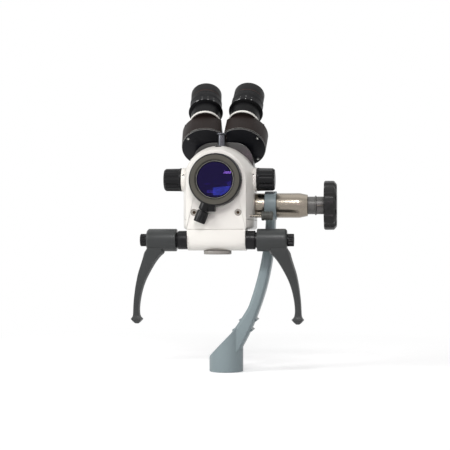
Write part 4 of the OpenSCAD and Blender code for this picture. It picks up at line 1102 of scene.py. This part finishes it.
class COLPOSCOPE_OT_handles(bpy.types.Operator):
    """Build the two swinging lever handles with their end screws"""
    bl_idname = "colposcope.handles"
    bl_label = "Handles"

    def execute(self, context):
        s = context.scene.colposcope_sizes
        reach, r = s.reach / MM, s.grip / MM / 2
        blade = lofted("Blade", self.rings(reach))
        handle = turned("Right_handle", [
            (54.8, BAR_BORE), (54.8, r - 0.4, 0.3), (55.6, r, 0.3), (92.6, r, 0.8),
            (BARREL_END, r - 2.2, 1.4), (BARREL_END, BAR_BORE)], 96, 0.3)
        place(handle, ALONG_X)
        combine(handle, "UNION", blade)
        combine(handle, "DIFFERENCE", rod(BAR_BORE, 50, 96, ALONG_X),
                rod(8.9, BARREL_END, 112, ALONG_X))
        twin = copied(handle, "Left_handle")
        axis = at(*HANDLES)
        for piece, side, move in ((handle, "right", axis), (twin, "left", axis @ MIRROR)):
            dress(place(piece, move), "lever", f"{side}_lever", "lever_black", f"{side}_handle")
        screw = turned("Right_end_screw", [
            (95.3, 0), (95.3, 8.0, 0.3), (95.9, 8.6, 0.3), (97.2, 8.6, 0.2), (97.5, 8.55, 0.1),
            (103.6, 8.55, 0.5), (104.3, 7.8, 0.4), (104.3, 4.4, 0.3), (103.7, 4.0, 0.3),
            (103.7, 0)], 144, 0.2)
        fluted(screw, 16, lambda share: 0.8 * max(0, 1 - (share / 0.3) ** 2), 97.3, 104.4, 7.2)
        second = copied(screw, "Left_end_screw")
        for piece, side, move in ((screw, "right", axis), (second, "left", axis @ MIRROR)):
            dress(place(piece, move @ ALONG_X), "bar", f"{side}_lock", "knob_black", f"{side}_end_screw")
        return {"FINISHED"}

    def rings(self, reach):
        """Smooth rings through the stations, with drafted sides that meet in the middle."""
        draft, last, knuckle = 1.9, len(HANDLE_SHARES) - 1, 12
        made = []
        for k in range(last):
            p = [Vector(HANDLE_SHARES[max(0, min(last, k + j))]) for j in (-1, 0, 1, 2)]
            fine = 4 if k < knuckle else 2
            for j in range(fine + (k == last - 1)):
                t = j / fine
                down, out, wide, deep = reach * 0.5 * (
                    2 * p[1] + (p[2] - p[0]) * t + (2 * p[0] - 5 * p[1] + 4 * p[2] - p[3]) * t ** 2
                    + (3 * p[1] - p[0] - 3 * p[2] + p[3]) * t ** 3)
                made.append({"centre": Vector((BARREL_END + out, 0, -down)), "size": (wide, deep)})
        wide, deep = made[0]["size"]
        slim = wide - draft
        corners = [(-slim, -deep), (slim, -deep), (wide, -deep * 0.1), (wide, deep * 0.1),
                   (slim, deep), (-slim, deep), (-wide, deep * 0.1), (-wide, -deep * 0.1)]
        made[0]["outline"] = [made[0]["centre"] + Vector((q.x, q.y, 0))
                              for q in softened(corners, 0.7, True, 2)]
        return made


# The binocular tube

class COLPOSCOPE_OT_tube_base(bpy.types.Operator):
    """Build the rounded base of the binocular tube and its clamp screw"""
    bl_idname = "colposcope.tube_base"
    bl_label = "Tube base"

    def execute(self, context):
        s = context.scene.colposcope_sizes
        half, shoulder, low, top = 43, 28, -34, 57.7
        front, back, heel, drum_gap = 85.3, 123, Vector((0, 34, -20.7)), 0.3
        base = box((-half, front, low), (half, front + 40, top))
        take(base, "EDIT")
        pick(lambda edge: all(v.co.z > (top - 1) * MM for v in edge.verts)
             and abs(edge.verts[0].co.x - edge.verts[1].co.x) < MERGE, "EDGE")
        bpy.ops.mesh.bevel(offset=shoulder * MM, segments=24)
        planes = [(Vector((0, back, 0)) * MM, Vector((0, 1, 0))), (Vector((0, back, 0)) * MM, heel)]
        for side in (1, -1):
            half_frame = tube_half(s, side)
            planes.append((half_frame @ Vector((0, 0, -drum_gap * MM)),
                           half_frame.to_3x3() @ Vector((0, 0, 1))))
        for spot, normal in planes:
            cut_off(spot, normal)
        mend()
        base = done("Tube_base")
        bevel(base, 1.0, 3, 35)
        collar = turned("Spigot", [(61, 26), (61, 30, 0.6), (86, 30), (86, 26)], 96, 0.2)
        combine(base, "UNION", place(collar, ALONG_Y))
        dress(place(base, HOME), "base", "head", "black_anodised", "tube_base")
        clamp = turned("Tube_clamp_screw", [
            (30, 0), (30, 3.4), (48.65, 3.4, 0), (48.65, 5.0, 0.2), (49.2, 5.2, 0.2),
            (65.8, 5.2, 0.3), (66.4, 4.7, 0), (66.4, 7.0, 0.3), (66.9, 7.2, 0.2), (68.4, 7.2, 0.4),
            (69, 6.6, 0.4), (69, 0)], 120, 0.2)
        fluted(clamp, 24, lambda share: 0.25 * max(0, 1 - (share / 0.3) ** 2), 66.7, 68.6, 6)
        dress(place(clamp, at(*CLAMP_HOLE)), "steel_z", "tube_clamp", "steel", "tube_clamp_screw")
        return {"FINISHED"}


def tube_half(s, side):
    """A tube half's own frame in the head's sizes: +Z along the eye tube's axis."""
    mirror = MIRROR if side < 0 else Matrix.Identity(4)
    return (moved(0, 93, 50) @ Matrix.Rotation(-s.tube_tilt, 4, "X") @ mirror @ moved(25.4, 0, 0)
            @ Matrix.Rotation(s.tube_spread, 4, "Y"))


# The eye tube's place on its drum
EYE_TUBE = moved(0, -18.6, 0)


def in_scene(s, side, shift=Matrix.Identity(4)):
    """A tube half's own frame in the scene."""
    return HOME @ tube_half(s, side) @ shift


def paint_band(piece, worn, matrix, low, high=1000.0):
    """Paints the faces whose middles lie between two heights in the frame that placed a piece."""
    back = matrix.inverted()
    paint_faces(piece, worn, lambda face: low * MM < (back @ face.center).z < high * MM)


def both(piece, s, worn, part, slot, shift=Matrix.Identity(4)):
    """Puts a right-hand piece and its mirrored copy on the two tube halves, for each with its move."""
    made = []
    for half, side, word in ((piece, 1, "right"), (copied(piece, "Twin"), -1, "left")):
        matrix = in_scene(s, side, shift)
        made.append((place(half, matrix), matrix))
        half.name = half.data.name = f"{word.title()}_{part}"
        body = {"dioptre_ring": "dioptre", "eyecup": "cup"}.get(part, "tube")
        dress(half, worn, f"{word}_{body}", slot, f"{word}_{part}")
    return made


class COLPOSCOPE_OT_drums(bpy.types.Operator):
    """Build the prism drums with their covers and cover screws"""
    bl_idname = "colposcope.drums"
    bl_label = "Prism drums"

    def execute(self, context):
        s = context.scene.colposcope_sizes
        r = s.drum / MM / 2
        drum = self.outline("Drum", r, 23.5, 3, 31)
        inner = self.outline("Inner", r - 3, 20.5, 2, 28)
        combine(drum, "DIFFERENCE", inner)
        bevel(drum, 0.5, 3, 30)
        tube = turned("Tube", [(30, EYE_BORE), (30, 21), (54.8, 21, 0.3), (54.8, EYE_BORE)], 96, 0.2)
        place(tube, EYE_TUBE)
        lug_r, lug_turn = 2, math.radians(30)
        lug = rod(lug_r, 30, 32, moved(r * math.cos(lug_turn) - lug_r, -r * math.sin(lug_turn)), 32)
        combine(drum, "UNION", bevel(lug, 0.4, 2), tube)
        gear_slot = box((-r, -18, 15.4), (-19.5, 18, 17.9))
        combine(drum, "DIFFERENCE", rod(EYE_BORE, 20, 60, EYE_TUBE, 96), gear_slot)
        for half, matrix in both(drum, s, "drum", "drum", "drum_black"):
            paint_band(half, "barrel_black", matrix, 31.05)
            # A thin band on the drum's lower bevel is painted light grey: a painted highlight line
            paint_band(half, "rim", matrix, 3.05, 3.3)
        cover = self.outline("Cover", r - 0.3, 20.5, 0, 2.9)
        bevel(cover, 0.7, 3, 30)
        spots = [Matrix.Rotation(math.radians(turn), 4, "Z") @ moved(30) for turn in (-38, 42, 105)]
        combine(cover, "DIFFERENCE", rod(6, -1, 4), *[rod(2.4, -1, 1.5, spot, 32) for spot in spots])
        for half, matrix in both(cover, s, "cover", "drum_cover", "black_anodised"):
            # A thin band on the cover's edge bevel is painted light grey: a painted highlight line
            paint_band(half, "rim", matrix, 0.35, 0.6)
        screw = turned("Screw", [(0.6, 0), (0.6, 1.0, 0.2), (0.0, 1.3, 0.2), (0.0, 1.9, 0.3),
                                 (0.5, 2.3, 0.3), (1.5, 2.3), (1.5, 0)], 32, 0.1)
        screws = [place(copied(screw, "Screw"), spot) for spot in spots]
        bpy.data.objects.remove(screw)
        both(joined(screws), s, "bright", "cover_screws", "bright_screw")
        return {"FINISHED"}

    def outline(self, name, r, flat, low, high):
        """A round disc with a flat towards its twin and a second flat that clears it in the swing."""
        disc = rod(r, low, high, None, 128)
        take(disc, "EDIT")
        for slant, reach in ((0, flat), (math.radians(-20), flat + 0.3)):
            normal = Vector((-math.cos(slant), -math.sin(slant), 0))
            cut_off(normal * reach * MM, normal)
        mend()
        return done(name)


class COLPOSCOPE_OT_eyepieces(bpy.types.Operator):
    """Build the tube rings, the eyepieces, the dioptre rings with their scales and the eyecups"""
    bl_idname = "colposcope.eyepieces"
    bl_label = "Eyepieces"

    def execute(self, context):
        s = context.scene.colposcope_sizes
        flange, d, cup = (value / MM / 2 for value in (s.flange, s.dioptre, s.eyecup))
        ring = turned("Ring", [(31.0, 21.05), (31.0, 22.4, 0.4), (34.0, 22.4, 0.5), (34.0, 21.05)],
                      96, 0.1)
        both(ring, s, "ring_white", "tube_ring", "white_ring", EYE_TUBE)
        eyepiece = turned("Eyepiece", [
            (39, 12), (39, 15), (55.0, 15, 0), (55.0, 20.9, 0.2), (56.3, flange - 0.3, 0.1),
            (56.9, flange - 0.2, 0.1), (58.0, 22.6, 0.2), (58.0, 17), (89, 17, 0.3), (89, 13.05),
            (84, 13.05), (84, 12)], 96, 0.2)
        both(eyepiece, s, "barrel_black", "eyepiece", "black_anodised", EYE_TUBE)
        scale = turned("Scale", [
            (58.05, DIOPTRE_BORE), (58.05, d - 0.5, 0.2), (58.5, d, 0.2), (60.2, d, 0),
            (61.6, d, 0.1), (61.9, d - 0.3, 0.1), (70.4, d - 0.3, 0.1), (70.8, d, 0.1),
            (77.6, d, 0.3), (78.75, d - 0.9, 0.4), (78.75, DIOPTRE_BORE)], 160, 0.1)
        fluted(scale, 40, lambda share: 0.35 if share < 0.2 else 0, 71.2, 77.7, d - 0.5)
        halves = both(scale, s, "scale_black", "dioptre_ring", "wheel_black", EYE_TUBE)
        marks = ((1, "right", (-20, 2, 23)), (-1, "left", (-9, 13, 34)))
        for (half, matrix), (side, word, turns) in zip(halves, marks):
            self.arc(half, matrix.inverted(), side)
            self.dots(matrix, side, word, turns, d)
        eyecup = turned("Eyecup", [
            (79.1, DIOPTRE_BORE), (79.1, cup - 0.6, 0.3), (79.6, cup, 0.3), (82.2, cup, 0.2),
            (82.5, cup - 0.35, 0.1), (83.3, cup - 0.35, 0.1), (83.6, cup, 0.2), (97.8, cup, 1.0),
            (99.0, cup - 1.2, 0.6), (97.9, cup - 2.4, 0.8), (89.3, DIOPTRE_BORE)], 96, 0.2)
        for half, matrix in both(eyecup, s, "rubber", "eyecup", "rubber_black", EYE_TUBE):
            paint_band(half, "seam", matrix, 82.5, 83.3)
        return {"FINISHED"}

    def arc(self, piece, home, side):
        """Paints the white line on the left of a dioptre ring's lower band."""
        def test(face):
            x, y, z = home @ face.center / MM
            return 58.6 < z < 60.2 and -1.25 < math.atan2(x * side, -y) < -0.4
        paint_faces(piece, "mark", test)

    def dots(self, matrix, side, word, turns, r):
        """Raises white dots on a dioptre ring, and smaller ones above them."""
        made = []
        for turn in turns:
            for height, size, low in ((59.6, 0.6, 0), (65.5, 0.35, 0.3)):
                dot = turned("Dot", [(r - 1, 0), (r - 1, size), (r - low + 0.1, size, 0.05),
                                     (r - low + 0.1, 0)], 16, 0.05)
                around = Matrix.Rotation(math.radians(side * turn - 90), 4, "Z")
                made.append(place(dot, matrix @ around @ moved(z=height) @ ALONG_X))
        joined(made)
        dress(done(f"{word.title()}_dioptre_marks"), "mark", f"{word}_dioptre", "white_ring")


# The stage

def joint_value(tree, how, first, second):
    """Joins a socket with another socket or a number."""
    node = tree.nodes.new("ShaderNodeMath")
    node.operation = how
    tree.links.new(first, node.inputs[0])
    if isinstance(second, float):
        node.inputs[1].default_value = second
    else:
        tree.links.new(second, node.inputs[1])
    return node.outputs[0]


def blended(tree, share, first, second):
    """A shader between two shaders."""
    node = tree.nodes.new("ShaderNodeMixShader")
    for slot, socket in enumerate((share, first, second)):
        tree.links.new(socket, node.inputs[slot])
    return node.outputs[0]


class COLPOSCOPE_OT_stage(bpy.types.Operator):
    """Set the floor, the lights, the room and the camera"""
    bl_idname = "colposcope.stage"
    bl_label = "Stage"

    def execute(self, context):
        studio = context.scene.colposcope_studio
        scene = context.scene
        quiet()
        bpy.ops.mesh.primitive_plane_add(size=12, location=(0, 0, -0.0004))
        floor = done("Floor")
        floor.data.materials.append(self.floor_paint())
        self.room(scene, studio.sky)
        plain, pink = (1, 1, 1), (1, 0.6, 0.85)
        for name, spot, size, power, tint in (
                ("Key", (-1.65, -1.15, 1.0), (0.9, 0.9), studio.key, plain),
                ("Fill", (1.6, -1.0, 0.7), (1.0, 1.2), studio.fill, plain),
                ("Top", (0.0, 0.2, 1.7), (1.6, 1.2), studio.top, plain),
                ("Front", (0.15, -1.9, 1.65), (0.9, 0.4), studio.front, plain),
                ("Glint", (0.45, -2.1, 0.75), (0.45, 0.12), studio.glint, pink),
                ("Star", (-0.29, -2.1, 0.60), (0.05, 0.05), studio.glint / 12, plain)):
            self.softbox(name, spot, size, power, tint)
        camera = bpy.data.cameras.new("Camera")
        camera.lens = studio.lens
        camera.sensor_width = 36
        holder = bpy.data.objects.new("Camera", camera)
        scene.collection.objects.link(holder)
        holder.location = studio.place
        holder.rotation_euler = (math.pi / 2 + studio.pitch, 0, studio.yaw)
        scene.camera = holder
        scene.view_settings.view_transform = "Standard"
        return {"FINISHED"}

    def softbox(self, name, spot, size, power, tint):
        """A rectangular light that looks at the middle of the head."""
        light = bpy.data.lights.new(name, "AREA")
        light.shape = "RECTANGLE"
        light.size, light.size_y = size
        light.energy = power
        light.color = tint
        holder = bpy.data.objects.new(name, light)
        bpy.context.scene.collection.objects.link(holder)
        holder.location = spot
        aim = Vector((0, -0.02, 0.24)) - Vector(spot)
        holder.rotation_euler = aim.to_track_quat("-Z", "Y").to_euler()

    def seen(self, tree):
        """1 where a camera, glossy or transmission ray looks, and 0 for the light itself."""
        path = tree.nodes.new("ShaderNodeLightPath")
        value = path.outputs["Is Camera Ray"]
        for ray in ("Is Glossy Ray", "Is Transmission Ray"):
            value = joint_value(tree, "MAXIMUM", value, path.outputs[ray])
        return value

    def room(self, scene, strength):
        """A plain room that lights the object softly and looks white."""
        world = bpy.data.worlds.new("Room")
        world.use_nodes = True
        scene.world = world
        tree = world.node_tree
        plain = tree.nodes["Background"]
        plain.inputs["Color"].default_value = (1, 1, 1, 1)
        plain.inputs["Strength"].default_value = strength
        white = tree.nodes.new("ShaderNodeBackground")
        white.inputs["Color"].default_value = (1, 1, 1, 1)
        white.inputs["Strength"].default_value = 1
        mix = blended(tree, self.seen(tree), plain.outputs[0], white.outputs[0])
        tree.links.new(mix, tree.nodes["World Output"].inputs["Surface"])

    def floor_paint(self):
        """Pale floor that looks white to the camera and keeps the object's shadow."""
        made = bpy.data.materials.new("Pale floor")
        made.use_nodes = True
        tree = made.node_tree
        shader = tree.nodes["Principled BSDF"]
        shader.inputs["Base Color"].default_value = (0.93, 0.93, 0.93, 1)
        shader.inputs["Roughness"].default_value = 0.9
        seen = self.seen(tree)
        glow = tree.nodes.new("ShaderNodeEmission")
        glow.inputs["Color"].default_value = (1, 1, 1, 1)
        tree.links.new(joint_value(tree, "MULTIPLY", seen, 0.4), glow.inputs["Strength"])
        both_lights = tree.nodes.new("ShaderNodeAddShader")
        tree.links.new(shader.outputs[0], both_lights.inputs[0])
        tree.links.new(glow.outputs[0], both_lights.inputs[1])
        where = tree.nodes.new("ShaderNodeTexCoord")
        far = tree.nodes.new("ShaderNodeVectorMath")
        far.operation = "LENGTH"
        tree.links.new(where.outputs["Object"], far.inputs[0])
        away = ranged(tree, far.outputs["Value"], 0, 1, 0.22, 0.75)
        white = tree.nodes.new("ShaderNodeEmission")
        white.inputs["Color"].default_value = (1, 1, 1, 1)
        fade = blended(tree, joint_value(tree, "MULTIPLY", seen, away), both_lights.outputs[0],
                       white.outputs[0])
        tree.links.new(fade, tree.nodes["Material Output"].inputs["Surface"])
        return made


OPERATORS = (
    COLPOSCOPE_OT_finishes, COLPOSCOPE_OT_arm, COLPOSCOPE_OT_tilt_clamp, COLPOSCOPE_OT_handwheel,
    COLPOSCOPE_OT_housing, COLPOSCOPE_OT_front_screws, COLPOSCOPE_OT_objective,
    COLPOSCOPE_OT_focus_knob, COLPOSCOPE_OT_magnification_knobs, COLPOSCOPE_OT_filter_knob,
    COLPOSCOPE_OT_handle_block, COLPOSCOPE_OT_handles, COLPOSCOPE_OT_tube_base,
    COLPOSCOPE_OT_drums, COLPOSCOPE_OT_eyepieces, COLPOSCOPE_OT_stage)


class COLPOSCOPE_PT_panel(bpy.types.Panel):
    """The steps of the build and the sizes and colours they use"""
    bl_label = "Colposcope"
    bl_idname = "COLPOSCOPE_PT_panel"
    bl_space_type = "VIEW_3D"
    bl_region_type = "UI"
    bl_category = "Colposcope"

    def draw(self, context):
        for step in OPERATORS:
            self.layout.operator(step.bl_idname)
        for group in ("colposcope_sizes", "colposcope_colours", "colposcope_studio"):
            values = getattr(context.scene, group)
            column = self.layout.column(align=True)
            for key in type(values).__annotations__:
                column.prop(values, key)


GROUPS = {"colposcope_sizes": ColposcopeSizes, "colposcope_colours": ColposcopeColours,
          "colposcope_studio": ColposcopeStudio}


def register():
    for kind in (*GROUPS.values(), *OPERATORS, COLPOSCOPE_PT_panel):
        bpy.utils.register_class(kind)
    for name, kind in GROUPS.items():
        setattr(bpy.types.Scene, name, PointerProperty(type=kind))


def unregister():
    for name in GROUPS:
        delattr(bpy.types.Scene, name)
    for kind in (COLPOSCOPE_PT_panel, *reversed(OPERATORS), *GROUPS.values()):
        bpy.utils.unregister_class(kind)


def main():
    """Registers the add-on and builds the scene step by step."""
    register()
    for step in OPERATORS:
        group, name = step.bl_idname.split(".")
        getattr(getattr(bpy.ops, group), name)()


if __name__ == "__main__":
    main()
